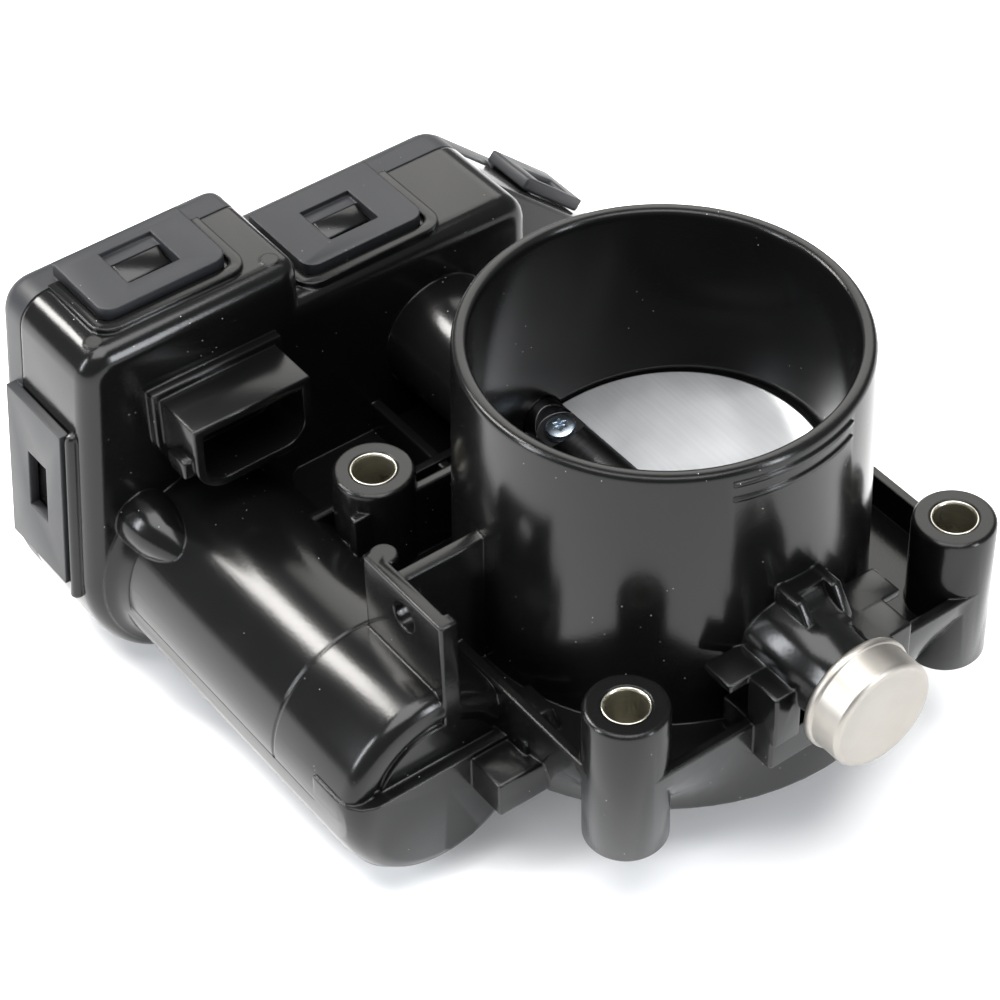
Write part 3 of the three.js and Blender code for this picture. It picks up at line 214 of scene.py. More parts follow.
def boolean(piece, other, operation):
    activate(piece)
    bpy.ops.object.modifier_add(type="BOOLEAN")
    change = piece.modifiers[-1]
    change.operation = operation
    change.solver = "MANIFOLD"
    change.object = other
    bpy.ops.object.modifier_apply(modifier=change.name)
    bpy.data.objects.remove(other, do_unlink=True)
    return piece


def fuse(name, pieces):
    """Joins the pieces to the first one, which takes the name."""
    whole = pieces[0]
    for other in pieces[1:]:
        boolean(whole, other, "UNION")
    whole.name = name
    return whole


def carve(piece, *cutters):
    for cutter in cutters:
        boolean(piece, cutter, "DIFFERENCE")
    return piece


def smooth(piece, angle=32):
    activate(piece)
    bpy.ops.object.shade_smooth_by_angle(angle=math.radians(angle))
    return piece


# ---- Outlines ----

def heading(a, b):
    """The direction from one point to another, in degrees."""
    return math.degrees(math.atan2(b[1] - a[1], b[0] - a[0]))


def idler_place():
    """Where the intermediate gear's axle stands, from its distances to the motor and the shaft."""
    to_motor = 33.0
    to_shaft = 33.5
    dy = SHAFT[0] - MOTOR[0]
    dz = SHAFT[1] - MOTOR[1]
    span = math.hypot(dy, dz)
    along = (to_motor ** 2 - to_shaft ** 2 + span ** 2) / (2 * span)
    aside = math.sqrt(to_motor ** 2 - along ** 2)
    y = MOTOR[0] + (along * dy + aside * dz) / span
    z = MOTOR[1] + (along * dz - aside * dy) / span
    return (y, z)


IDLER = idler_place()


def lower_tangent(a, ra, b, rb):
    """Where the line below two circles touches them, as an angle in degrees."""
    span = math.hypot(b[0] - a[0], b[1] - a[1])
    return heading(a, b) + math.degrees(math.acos((ra - rb) / span))


def case_outline(inset):
    """The gear case's outline in y and z, inset from its outer face."""
    lean = CASE_LEAN
    step_r = 2.5  # round of the step between the tops
    motor_r = CASE_MOTOR_R - inset
    idler_r = 31.7 - inset
    shaft_r = 24.5 - inset
    corner = max(7.0 - inset, 0.5)
    to_idler = lower_tangent(SHAFT, shaft_r, IDLER, idler_r)
    to_motor = lower_tangent(IDLER, idler_r, MOTOR, motor_r)
    t = math.radians(180 - lean)
    top = LEFT_TOP - inset
    low_top = RIGHT_TOP - inset
    right = SHAFT[0] + shaft_r
    corner_z = top - corner - MOTOR[1]
    outer_y = MOTOR[0] + (motor_r - corner_z * math.sin(t)) / math.cos(t)
    left_y = outer_y + corner / math.cos(math.radians(lean))
    points = arc(right - corner, low_top - corner, corner, 90, 0, 8)
    points += arc(*SHAFT, shaft_r, 0, to_idler, 12)
    points += arc(*IDLER, idler_r, to_idler, to_motor, 8)
    points += arc(*MOTOR, motor_r, to_motor, -180 - lean, 24)
    points += arc(left_y, top - corner, corner, 180 - lean, 90, 8)
    points += arc(STEP_Y - inset - step_r, top - step_r, step_r, 90, 0, 6)
    points.append((STEP_Y - inset, low_top))
    return points


def case_ring(x, inset):
    return [(x, y, z) for y, z in case_outline(inset)]


def rounded_case(name, far_x, near_x, r, sign):
    """A block of the case's outline whose edge at near_x is rounded."""
    rings = [case_ring(far_x, 0)]
    for i in range(7):
        t = math.radians(90 * i / 6)
        rings.append(case_ring(near_x - sign * r * (1 - math.sin(t)), r * (1 - math.cos(t))))
    return skin(name, rings)


def flange_outline(half, side_steps=16):
    """A square with rounded corners, whose sides are cut into steps."""
    corner = half - BOLTS[0][0]
    points = rounded_box(-half, half, -half, half, corner, 8)
    out = []
    for i, (x, y) in enumerate(points):
        dx = points[(i + 1) % len(points)][0] - x
        dy = points[(i + 1) % len(points)][1] - y
        steps = side_steps if math.hypot(dx, dy) > half else 1
        out += [(x + dx * k / steps, y + dy * k / steps) for k in range(steps)]
    return out


# ---- Housing ----

def tube():
    """The air tube, with two raised ribs below its rim."""
    outside = [(BORE_R, 0.05), (41.4, 0.05), (41.6, 12.8), (41.2, 34.5), (40.15, 74.2)]
    rim = [(40.0, 74.8), (39.6, 75.25), (39.0, 75.4), (37.9, 75.4), (37.35, 75.15), (37.05, 74.6)]
    inside = [(36.95, 73.6), (35.7, 46), (BORE_R, 38)]
    pieces = [turned("tube", outside + rim + inside, steps=160)]
    rib_deg = 20.5
    outline = arc(0, 0, 40.75, -rib_deg, rib_deg, 24) + arc(0, 0, 39.0, rib_deg, -rib_deg, 24)
    for z in (72.0, 68.4):
        pieces.append(soften(prism("tube_rib", outline, z, z + 1.0), 0.25, 2))
    return pieces


def flange():
    """The flange, round at its face and square above, with a boss at each bolt."""
    foot_r = 52.0
    top = 20.5
    # Each height, with how far the square is drawn out to the round foot there.
    shares = ((0.0, 1.0), (3.0, 0.96), (7.0, 0.72), (11.0, 0.36), (16.0, 0.08), (20.1, 0.0), (top, 0.0))
    levels = []
    for z, share in shares:
        ring = []
        for x, y in flange_outline(FLANGE_HALF):
            reach = foot_r / math.hypot(x, y)
            pull = 1 + (reach - 1) * share
            trim = 0.993 if z == top else 1.0
            ring.append((x * pull * trim, y * pull * trim, z))
        levels.append(ring)
    plateau = skin("flange", levels)
    carve(plateau, prism("pocket", flange_outline(FLANGE_HALF - 2.3), 12.8, 24))
    boss_foot = [(0, 0.0), (8.2, 0.0), (8.44, 0.4)]
    boss_head = [(8.44, 33.4), (8.2, 34.1), (7.7, BOSS_TOP), (0, BOSS_TOP)]
    return [plateau] + [turned("boss", boss_foot + boss_head, spot, steps=64) for spot in BOLTS]


def shaft_side():
    """The boss towards the end cap, the two blocks and web beside it, and the fork above it."""
    boss_profile = [(0, 37), (9.4, 37), (9.4, 53.6), (9.0, 54.4), (9.0, 64), (0, 64)]
    boss = turned("shaft_boss", boss_profile, SHAFT, "X", 64)
    back = turned("bearing_boss", [(0, FLOOR_X), (13.5, FLOOR_X), (13.0, -38), (0, -38)], SHAFT, "X", 72)
    shelf = block("shelf", 39.5, 54, -16.6, 16.6, 12, 20.5, 0.6)
    left = block("ledge_left", 46.5, 55, -16.6, -10.4, 19, 31.7, 0.45)
    right = block("ledge_right", 46.5, 55, 10.4, 16.8, 19, 31.7, 0.45)
    web = block("web", 39.5, 56, -11.6, 11.6, 29.5, 31.7, 0.4)
    side_webs = [block("side_web", 39, 46.8, y, y + 11, 29.9, 31.7, 0.3) for y in (-21, 10)]
    fork = []
    for y in (-5.4, 3.0):
        outline = [(39, 30), (50.8, 30), (50.8, 38.5), (47, 44), (39, 44)]
        fork.append(soften(prism("fork_rib", outline, y, y + 2.1, "Y"), 0.35, 2))
    dip = [(39, 30), (52.6, 30), (52.6, 38.9)]
    for degrees in range(0, 91, 9):
        t = math.radians(degrees)
        dip.append((52 - 7.5 * math.sin(t), 39.2 + 4.6 * (1 - math.cos(t))))
    dip.append((39, 43.8))
    fork.append(prism("fork_web", dip, -3.8, 3.4, "Y"))
    return [boss, back, shelf, left, right, web] + side_webs + fork


def circle(x, y, z, r, steps=32):
    """Points on a circle about a line along X."""
    ring = []
    for k in range(steps):
        t = 2 * math.pi * k / steps
        ring.append((x, y + r * math.cos(t), z + r * math.sin(t)))
    return ring


def screw_spots():
    """The y, z and direction of the two screws that hold the motor."""
    spots = []
    for turn in (0, 180):
        t = math.radians(SCREW_DEG + turn)
        spots.append((MOTOR[0] + SCREW_CIRCLE * math.cos(t), MOTOR[1] + SCREW_CIRCLE * math.sin(t), t))
    return spots


def screw_lump(y, z, t):
    """The round swelling over a motor screw, which sinks into the barrel."""
    wide = 6.3
    lean_in = 0.55
    profile = ((FLOOR_X, wide), (-66.5, 6.2), (-63, 5.5), (-60, 4.4), (-57, 3.0), (-55, 1.6), (-54.2, 0.5))
    rings = []
    for x, r in profile:
        sunk = (wide - r) * lean_in
        rings.append(circle(x, y - sunk * math.cos(t), z - sunk * math.sin(t), r))
    return skin("screw_lump", rings)


def barrel():
    """The motor's barrel, the tray below it and the swellings at its root."""
    barrel_r = 21.3
    end_x = 12.0
    side = [(0, FLOOR_X), (barrel_r, FLOOR_X)]
    seam = [(barrel_r, -14.0), (21.15, -13.8), (21.15, -13.4), (barrel_r, -13.2)]
    end = [(barrel_r, 8.5), (21.0, 10.2), (20.1, 11.4), (18.7, end_x)]
    end_groove = [(16.2, end_x), (16.0, 11.2), (14.4, 11.2), (14.2, end_x), (0, end_x)]
    body = turned("barrel", side + seam + end + end_groove, MOTOR, "X", 128)
    tray_side = [(0, FLOOR_X + 3), (21.9, FLOOR_X + 3), (21.9, 8.0)]
    tray_end = [(21.3, 11.4), (19.6, 13.6), (17.0, 14.8), (0, 14.8)]
    tray = turned("tray", tray_side + tray_end, MOTOR, "X", 128)
    carve(
        tray,
        block("beside", -90, 40, -120, -84.99, -60, 60, 0),
        block("above", 0, 40, -120, 0, 10, 60, 0),
        block("behind", -90, 0.5, -120, 0, 3, 60, 0),
    )
    slab = tray_slab()
    lumps = [screw_lump(*spot) for spot in screw_spots()]
    root_side = [(0, FLOOR_X), (24.6, FLOOR_X), (24.6, FACE_X + 0.3), (23.2, FACE_X + 0.9)]
    root_end = [(22.2, FACE_X + 2.2), (21.5, FACE_X + 4.5), (0, FACE_X + 4.5)]
    root = turned("barrel_root", root_side + root_end, MOTOR, "X", 96)
    carve(root, block("trim", -90, -40, -120, 20, 22, 60, 0))
    return [body, tray, slab, root] + lumps


def tray_slab():
    """The flat-topped end of the tray, which runs on towards the flange."""
    y = MOTOR[0]
    top = [(y - 10, 10), (-45.6, 10), (-45.6, 1.2)]
    curve = [(-47.4, -1.5), (-50, -4.6), (-53.5, -9.0), (-58, -13)]
    foot = [(y, -14), (y - 10, -8)]
    return soften(prism("tray_slab", top + curve + foot, -6, 14.8, "X"), 0.7, 3)


def links():
    """The webs and ribs between the barrel, the case and the flange."""
    deck = block("deck", -48.5, 24, -58, -40.9, 0.6, 9, 0.5)
    step = block("step", 6, 20.6, -49.2, -41, 1, 12.4, 0.5)
    wedge_side = [(11, 1), (25.4, 1), (25.4, 8), (19, 16.2), (11, 16.2)]
    wedge = soften(prism("wedge", wedge_side, -45.6, -41, "Y"), 0.5)
    back_wall = block("back_wall", -49, -46.6, -60, -41, 4, 22, 0.5)
    boss_rib = block("boss_rib", -36.2, -33.8, -50, -21.3, 10, 30.2, 0.4)
    ribs = [block("case_rib", FLOOR_X + 1, -38, y, y + 2.4, 4, 20, 0.4) for y in (-21, 13.6)]
    floor = block("case_floor", FLOOR_X + 1, -44, -46, 22, 6, 12.6, 0.5)
    return [deck, step, wedge, back_wall, boss_rib, floor] + ribs


def harness_bracket():
    """The upright plate that a harness clip snaps into."""
    top = 44.4
    plate = block("bracket", -13, 12, -61.8, -58.8, 12, top, 0.45)
    post_profile = [(0, 16), (2.9, 16), (2.9, 44.0), (2.6, top), (0, top)]
    post = turned("bracket_post", post_profile, (-11.1, -58.4), steps=40)
    end = block("bracket_end", 9, 12, -61.8, -57.8, 6, top, 0.35)
    rib = block("bracket_rib", -5.9, -2.8, -60, -38, 6, 44.2, 0.4)
    fuse("bracket", [plate, post, end, rib])
    return [carve(plate, rod("bracket_hole", 3.35, -66, -58.2 + OVER, (0, 38.5), "Y", 48))]


def clip_rim(x1, y0, y1, top):
    """The raised frame on the pan round three sides of a top hook."""
    wide = 3
    gap = 0.5
    outer = rounded_box(SEAM_X - 4, x1 + wide, y0 - wide, y1 + wide, 4.5)
    inner = rounded_box(SEAM_X - 9, x1 + gap, y0 - gap, y1 + gap, 2.6)
    rim = prism("rim_outer", outer, top - SINK, top + 1.1)
    carve(
        rim,
        prism("rim_inner", inner, top - 3, top + 5),
        block("rim_trim", SEAM_X - 20, SEAM_X + 0.4, y0 - 9, y1 + 9, top - 9, top + 9, 0),
    )
    return soften(rim, 0.4, 3)


def catch(x0, x1, y0, y1, top, high):
    """The sloped tooth that stands in a hook's window."""
    outline = [(x0 + 0.5, top - SINK), (x1 - 3, top - SINK), (x1 - 3, top + 0.6), (x0 + 0.5, high)]
    return soften(prism("catch", outline, y0 + 0.7, y1 - 0.7, "Y"), 0.25, 2)


def slope_point(along, off):
    """A point along the wing's slope and off its surface, as y and z."""
    t = math.radians(42.6)
    return (20.7 + along * math.cos(t) + off * math.sin(t), 51.3 - along * math.sin(t) + off * math.cos(t))


def wing(name, x0, x1, edge):
    """The part of the case beyond its right wall, whose top slopes down."""
    end = slope_point(41.5, 0)
    outline = [(17, 14), (end[0], 14), end, slope_point(0.4, 0), slope_point(-1.2, -0.3), (17, 51.3)]
    return soften(prism(name, outline, x0, x1, "X"), edge, 4, 25)


def wing_pocket(x0, x1):
    outline = [(24.2, 16.5), (48.7, 16.5), (48.7, 22), (24.2, 44.6)]
    return prism("wing_pocket", outline, x0, x1, "X")


def slope_slab(start, end, low, high, x0, x1):
    """A block that lies along the wing's slope, between two distances off it."""
    corners = ((start, low), (end, low), (end, high), (start, high))
    return prism("slope_hook", [slope_point(*corner) for corner in corners], x0, x1, "X")


def slope_hook():
    arm = slope_slab(12, 31.5, 0.3, 3.2, HOOK_START, -84.5)
    root = slope_slab(12, 31.5, -SINK, 3.2, HOOK_START, SEAM_X)
    piece = fuse("slope_hook", [arm, root])
    carve(piece, slope_slab(17, 27, -0.7, 4.2, -91.5, -86))
    return soften(piece, 0.6, 3)


def wall_y(z):
    """Where the motor side's leaning wall stands at a height."""
    lean = math.radians(CASE_LEAN)
    return MOTOR[0] - (CASE_MOTOR_R - (z - MOTOR[1]) * math.sin(lean)) / math.cos(lean)


def leaning_rail():
    """The round rail that follows the leaning wall beside the side hook."""
    rings = []
    for z, r in ((3, 1.5), (43.4, 1.5), (44.4, 1.1), (44.9, 0.3)):
        ring = []
        for k in range(24):
            t = k * math.pi / 12
            ring.append((-75.9 + r * math.cos(t), wall_y(z) - 0.3 + r * math.sin(t), z))
        rings.append(ring)
    return skin("side_rail", rings)


def pan():
    """The deep half of the gear case, with its hook frames, teeth and rail."""
    near_seam = SEAM_X + 0.35
    pieces = [rounded_case("pan", near_seam, FACE_X, 4.2, 1), wing("wing", near_seam, -80, 1.6)]
    pieces.append(clip_rim(-78, -76, -47, LEFT_TOP))
    pieces.append(clip_rim(-75.5, -30.5, -1.5, RIGHT_TOP))
    pieces.append(catch(*LEFT_WINDOW, LEFT_TOP, 67.3))
    pieces.append(catch(*RIGHT_WINDOW, RIGHT_TOP, 57.2))
    pieces.append(leaning_rail())
    mark_top = LEFT_TOP + 0.12
    mark = [(0, LEFT_TOP - 1), (1.9, LEFT_TOP - 1), (1.9, mark_top), (0, mark_top)]
    for spot in ((-75.6, -80.4), (-75.4, -39.6)):
        pieces.append(turned("ejector", mark, spot, steps=32))
    return pieces


def socket_outline(inset):
    """The socket's outline in y and z: square above, round below."""
    left, right, top = -71.5, -44, 50
    corner = 7
    corner_z = 40
    r = corner - inset
    outline = arc(right - corner, corner_z, r, -90, 0, 10)
    outline += [(right - inset, top - inset), (left + inset, top - inset)]
    outline += arc(left + corner, corner_z, r, 180, 270, 10)
    return outline


def socket_shroud():
    shroud = soften(prism("socket", socket_outline(0), FLOOR_X, -56, "X"), 0.35, 2, 50)
    collar = prism("socket_collar", socket_outline(-1.6), FLOOR_X, FACE_X + 2.2, "X")
    soften(collar, 0.5, 2, 50)
    lug = block("socket_lug", -63.5, -57.5, -73.6, -71, 37.5, 41.8, 0.5)
    return [shroud, collar, lug]


def housing():
    """The whole moulding: every solid shape joined, then every hollow cut."""
    pieces = tube() + flange() + shaft_side() + harness_bracket()
    pieces += barrel() + links() + pan() + socket_shroud()
    body = fuse("housing_body", pieces)
    cutters = [
        rod("bore_clear", BORE_R, -OVER, 40, (0, 0), "Z", 160),
        rod("shaft_bore", 5.25, -90, 80, SHAFT, "X", 64),
        rod("needle_pocket", 7.3, 50.5, 70, SHAFT, "X", 48),
        rod("bearing_pocket", 11.1, -90, -66.2, SHAFT, "X", 48),
        rod("seal_pocket", 7.7, -70, -63.1, SHAFT, "X", 48),
        rod("seal_pocket", 7.7, 47.9, 55, SHAFT, "X", 48),
        prism("pan_hollow", case_outline(CASE_WALL), SEAM_X - OVER, FLOOR_X, "X"),
        wing_pocket(SEAM_X - OVER, -82.5),
        rod("motor_hollow", 18.3, FLOOR_X - OVER, 8.6, MOTOR, "X", 64),
        prism("socket_hollow", socket_outline(2), -67.5, -50, "X"),
        turned("seal_groove", [(41.3, -OVER), (44.7, -OVER), (44.7, 2), (41.3, 2)], steps=128),
        rod("axle_seat", 2.15, FLOOR_X - 1, FLOOR_X + 1.7, IDLER, "X", 24),
    ]
    for spot in BOLTS:
        cutters.append(rod("sleeve_hole", 4.87, -OVER, BOSS_TOP + OVER, spot, "Z", 64))
    for i in range(PIN_COUNT):
        y = PIN_Y + (i - (PIN_COUNT - 1) / 2) * PIN_PITCH
        slot = (y - PIN_HALF, y + PIN_HALF, PIN_Z - PIN_HALF, PIN_Z + PIN_HALF)
        cutters.append(block("pin_slot", -76, -66, *slot, 0))
    for y, z, _ in screw_spots():
        cutters.append(rod("screw_hole", 1.6, -75, -63.9, (y, z), "X", 24))
    return carve(body, *cutters)


# ---- Cover ----

def hook(x1, y0, y1, top, thick, window):
    """A snap hook that lies on one of the case's tops, with a window for its tooth."""
    x0 = HOOK_START
    low = top + 0.3
    high = low + thick
    arm = prism("hook", rounded_box(x0 - 6, x1, y0, y1, 3.2), low, high)
    carve(arm, block("hook_trim", x0 - 20, x0, -120, 60, 0, 90, 0))
    root = block("hook_root", x0, SEAM_X, y0, y1, top - 2.5, high, 0)
    piece = fuse("hook", [arm, root])
    left, _, front, back = window
    step = (left - 3.2, left + 1, front - 0.01, back + 0.01, top + thick - 0.9, top + 9)
    carve(
        piece,
        prism("window", rounded_box(*window, 0.5, 3), top - 1, top + 9),
        block("window_step", *step, 0),
    )
    return soften(piece, 0.4, 3)


def side_slab(inner, outer, x0, x1, z0, z1):
    """A block that lies along the leaning wall, between two distances off it."""
    low, high = wall_y(z0), wall_y(z1)
    outline = [(low - outer, z0), (low - inner, z0), (high - inner, z1), (high - outer, z1)]
    return prism("side_hook", outline, x0, x1, "X")


def side_hook():
    arm = side_slab(0.3, 2.4, HOOK_START, -77, 6, 44)
    root = side_slab(-2.5, 2.35, HOOK_START, SEAM_X, 6.05, 43.95)
    piece = fuse("side_hook", [arm, root])
    carve(piece, block("side_window", -90, -83, -120, -80, 18, 32, 0))
    return soften(piece, 0.4, 3)


def cover():
    """The gear case's lid and its four hooks."""
    body = rounded_case("gear_cover_shell", SEAM_X, BACK_X, 4.2, -1)
    left_hook = hook(-78, -76, -47, LEFT_TOP, 2.9, LEFT_WINDOW)
    right_hook = hook(-75.5, -30.5, -1.5, RIGHT_TOP, 2.6, RIGHT_WINDOW)
    hooks = [left_hook, right_hook, side_hook(), slope_hook()]
    lid_wing = wing("cover_wing", BACK_X, SEAM_X, 1.6)
    shell = fuse("gear_cover_shell", [body, lid_wing] + hooks)
    carve(shell, prism("cover_hollow", case_outline(CASE_WALL), ROOF_X, SEAM_X + OVER, "X"))
    carve(shell, wing_pocket(ROOF_X, SEAM_X + OVER))
    seat = rod("axle_cap", 4.2, ROOF_X - 1, -99.4, IDLER, "X", 32)
    fuse("gear_cover_shell", [shell, seat])
    return carve(shell, rod("axle_hole", 2.15, ROOF_X - 0.5, -98, IDLER, "X", 24))


# ---- Small pieces ----

def end_cap():
    """The pressed cap over the shaft boss, from its face to its rolled edge and up inside."""
    face = [(0, 69.05), (9.6, 69.05), (9.9, 69.15), (10.6, 69.15)]
    side = [(11.2, 68.95), (11.6, 68.5), (11.7, 67.9), (11.7, 62.9)]
    rolled_edge = [(11.8, 62.5), (12.15, 62.3), (12.3, 61.9), (12.3, 61.1), (12.1, 60.75), (11.7, 60.6)]
    inside = [(9.35, 60.6), (9.35, 67.5), (0, 67.5)]
    return turned("shaft_cap", face + side + rolled_edge + inside, SHAFT, "X", 128)


def sleeve(i, spot):
    """A steel sleeve that takes the bolt's load."""
    outside = [(4.15, 0.3), (4.35, 0.0), (4.815, 0.0), (4.815, 34.2)]
    lip = [(4.7, BOSS_TOP), (4.45, BOSS_TOP), (4.2, 34.2), (4.15, 33.9)]
    return turned(f"bolt_sleeve_{i}", outside + lip, spot, "Z", 64)


def tilted(piece):
    """Turns a piece made level about the shaft to the sprung rest position."""
    activate(piece)
    to_shaft = Matrix.Translation(Vector((0, SHAFT[0], SHAFT[1])) * MM)
    piece.data.transform(to_shaft @ Matrix.Rotation(math.radians(LIMP_TILT), 4, "X"))
    return piece


def shaft_rod():
    """The shaft, slotted for the plate, with a flat and a hole at each plate screw."""
    profile = [(0, -91.5), (4.6, -91.5), (5, -91.1), (5, 61.6), (4.6, 62), (0, 62)]
    piece = turned("throttle_rod", profile, (0, 0), "X", 64)
    carve(piece, block("slot", -35.2, 35.2, -6, 6, -0.9, 0.9, 0))
    for x in (-PLATE_SCREW_X, PLATE_SCREW_X):
        flat = rod("flat", 5.0, 2.0, 8, (x, 0), "Z", 48)
        carve(piece, flat, rod("screw_way", 2.0, -8, 8, (x, 0), "Z", 24))
    return tilted(piece)


def plate_disc():
    profile = [(0, -0.8), (34.6, -0.8), (34.9, -0.5), (34.9, 0.5), (34.6, 0.8), (0, 0.8)]
    disc = turned("throttle_disc", profile, (0, 2.9), "Z", 160)
    for x in (-PLATE_SCREW_X, PLATE_SCREW_X):
        carve(disc, rod("hole", 2.0, -4, 4, (x, 0), "Z", 24))
    return tilted(disc)


def plate_screw(i, x):
    """A plate screw with a star recess in its head."""
    stem = [(0, -3.6), (1.6, -3.6), (1.9, -3.3), (1.9, 2.0)]
    head = [(3.0, 2.0), (3.2, 2.2), (3.2, 3.2), (3.0, 3.5), (2.5, 3.7), (0, 3.7)]
    screw = turned(f"disc_screw_{i}", stem + head, (x, 0), "Z", 48)
    star = []
    for k in range(12):
        r = 1.55 if k % 2 else 0.95
        t = k * math.pi / 6
        star.append((r * math.cos(t) + x, r * math.sin(t)))
    carve(screw, prism("star", star, 2.7, 5))
    return tilted(screw)


# ---- Materials ----

class Wire:
    """A shader socket that Python's operators work on."""

    def __init__(self, tree, socket):
        self.tree = tree
        self.socket = socket

    def _math(self, operation, first, second):
        node = self.tree.nodes.new("ShaderNodeMath")
        node.operation = operation
        for slot, value in zip(node.inputs, (first, second)):
            if isinstance(value, Wire):
                self.tree.links.new(value.socket, slot)
            else:
                slot.default_value = value
        return Wire(self.tree, node.outputs[0])

    def __add__(self, other):
        return self._math("ADD", self, other)

    def __radd__(self, other):
        return self._math("ADD", other, self)

    def __sub__(self, other):
        return self._math("SUBTRACT", self, other)

    def __rsub__(self, other):
        return self._math("SUBTRACT", other, self)

    def __mul__(self, other):
        return self._math("MULTIPLY", self, other)

    def __rmul__(self, other):
        return self._math("MULTIPLY", other, self)

    def root(self):
        return self._math("SQRT", self, 0)

    def above(self, level):
        return self._math("GREATER_THAN", self, level)

    def below(self, level):
        return self._math("LESS_THAN", self, level)


class Finish:
    """A material under construction."""

    def __init__(self, name):
        self.material = bpy.data.materials.new(name)
        self.material.use_nodes = True
        self.tree = self.material.node_tree
        self.shader = self.tree.nodes["Principled BSDF"]
        self.place = self.node("ShaderNodeTexCoord")["Object"]

    def node(self, kind, settings=None, **values):
        made = self.tree.nodes.new(kind)
        for key, value in (settings or {}).items():
            setattr(made, key, value)
        for key, value in values.items():
            self.feed(made.inputs[key.replace("_", " ")], value)
        return {socket.name: Wire(self.tree, socket) for socket in made.outputs}

    def feed(self, slot, value):
        if isinstance(value, Wire):
            self.tree.links.new(value.socket, slot)
        else:
            slot.default_value = value

    def set(self, **values):
        for key, value in values.items():
            self.feed(self.shader.inputs[key.replace("_", " ")], value)

    def noise(self, scale, detail=2.0, place=None):
        spot = place or self.place
        made = self.node("ShaderNodeTexNoise", Vector=spot, Scale=scale, Detail=detail, Roughness=0.5)
        return made["Fac"]

    def blend(self, mask, low, high):
        """A colour between two others; inputs 6 and 7 and output 2 are the node's colour sockets."""
        made = self.tree.nodes.new("ShaderNodeMix")
        made.data_type = "RGBA"
        self.feed(made.inputs["Factor"], mask)
        self.feed(made.inputs[6], low)
        self.feed(made.inputs[7], high)
        return Wire(self.tree, made.outputs[2])

    def stretched(self, x, y, z):
        return self.node("ShaderNodeMapping", Vector=self.place, Scale=(x, y, z))["Vector"]

    def bump(self, height, strength, distance, normal):
        values = {"Height": height, "Strength": strength, "Distance": distance, "Normal": normal}
        self.set(Normal=self.node("ShaderNodeBump", **values)["Normal"])

    def rounded_edges(self, radius):
        return self.node("ShaderNodeBevel", {"samples": 6}, Radius=radius)["Normal"]

    def specks(self, scale, size):
        """Fine dust: small round dots, thinned by a second pattern."""
        cells = self.node("ShaderNodeTexVoronoi", Vector=self.place, Scale=scale)
        sparse = self.noise(scale * 0.11, 1.0).above(0.56)
        return cells["Distance"].below(size) * sparse


METAL_EDGE = 0.0003  # metres of rounding that light sees on a metal edge


def rgb(r, g, b):
    return (r, g, b, 1.0)


def moulded(name, dark, light, rough_low, rough_high, edge, coat, grain, dust, shine=0.3):
    """Plastic or rubber, clouded between two colours, with a fine grain and dust."""
    finish = Finish(name)
    cloud = finish.noise(45, 3)
    mask = finish.specks(520, 0.045) * dust
    finish.set(
        Base_Color=finish.blend(mask, finish.blend(cloud, dark, light), rgb(0.5, 0.5, 0.48)),
        Roughness=rough_low + (rough_high - rough_low) * finish.noise(70, 4) + mask * 0.4,
        Coat_Weight=coat,
        IOR=1.52,
    )
    finish.shader.inputs["Coat Roughness"].default_value = 0.12
    finish.shader.inputs["Specular IOR Level"].default_value = shine
    finish.bump(finish.noise(grain, 3), 0.12, 0.0001, finish.rounded_edges(edge))
    return finish.material


def metal(name, low, high, rough_low, rough_high, stretch):
    """Metal with fine lines, whose direction comes from how the pattern is stretched."""
    finish = Finish(name)
    lines = finish.noise(1.0, 4, place=finish.stretched(*stretch))
    finish.set(
        Base_Color=finish.blend(lines, low, high),
        Metallic=1.0,
        Roughness=rough_low + (rough_high - rough_low) * finish.noise(90, 3),
    )
    finish.bump(lines, 0.1, 0.00005, finish.rounded_edges(METAL_EDGE))
    return finish.material


def turned_metal(name, low, high, rough_low, rough_high, centre):
    """Metal with fine rings about a line along X."""
    finish = Finish(name)
    offset = (0, -centre[0] * MM, -centre[1] * MM)
    shifted = finish.node("ShaderNodeMapping", Vector=finish.place, Location=offset)["Vector"]
    axes = finish.node("ShaderNodeSeparateXYZ", Vector=shifted)
    reach = (axes["Y"] * axes["Y"] + axes["Z"] * axes["Z"]).root()
    line = {"noise_dimensions": "1D"}
    rings = finish.node("ShaderNodeTexNoise", line, W=reach, Scale=5200, Detail=2)["Fac"]
    stain = finish.noise(120, 3)
    finish.set(
        Base_Color=finish.blend(stain, low, high),
        Metallic=1.0,
        Roughness=rough_low + (rough_high - rough_low) * rings,
    )
    finish.bump(rings, 0.12, 0.00004, finish.rounded_edges(METAL_EDGE))
    return finish.material


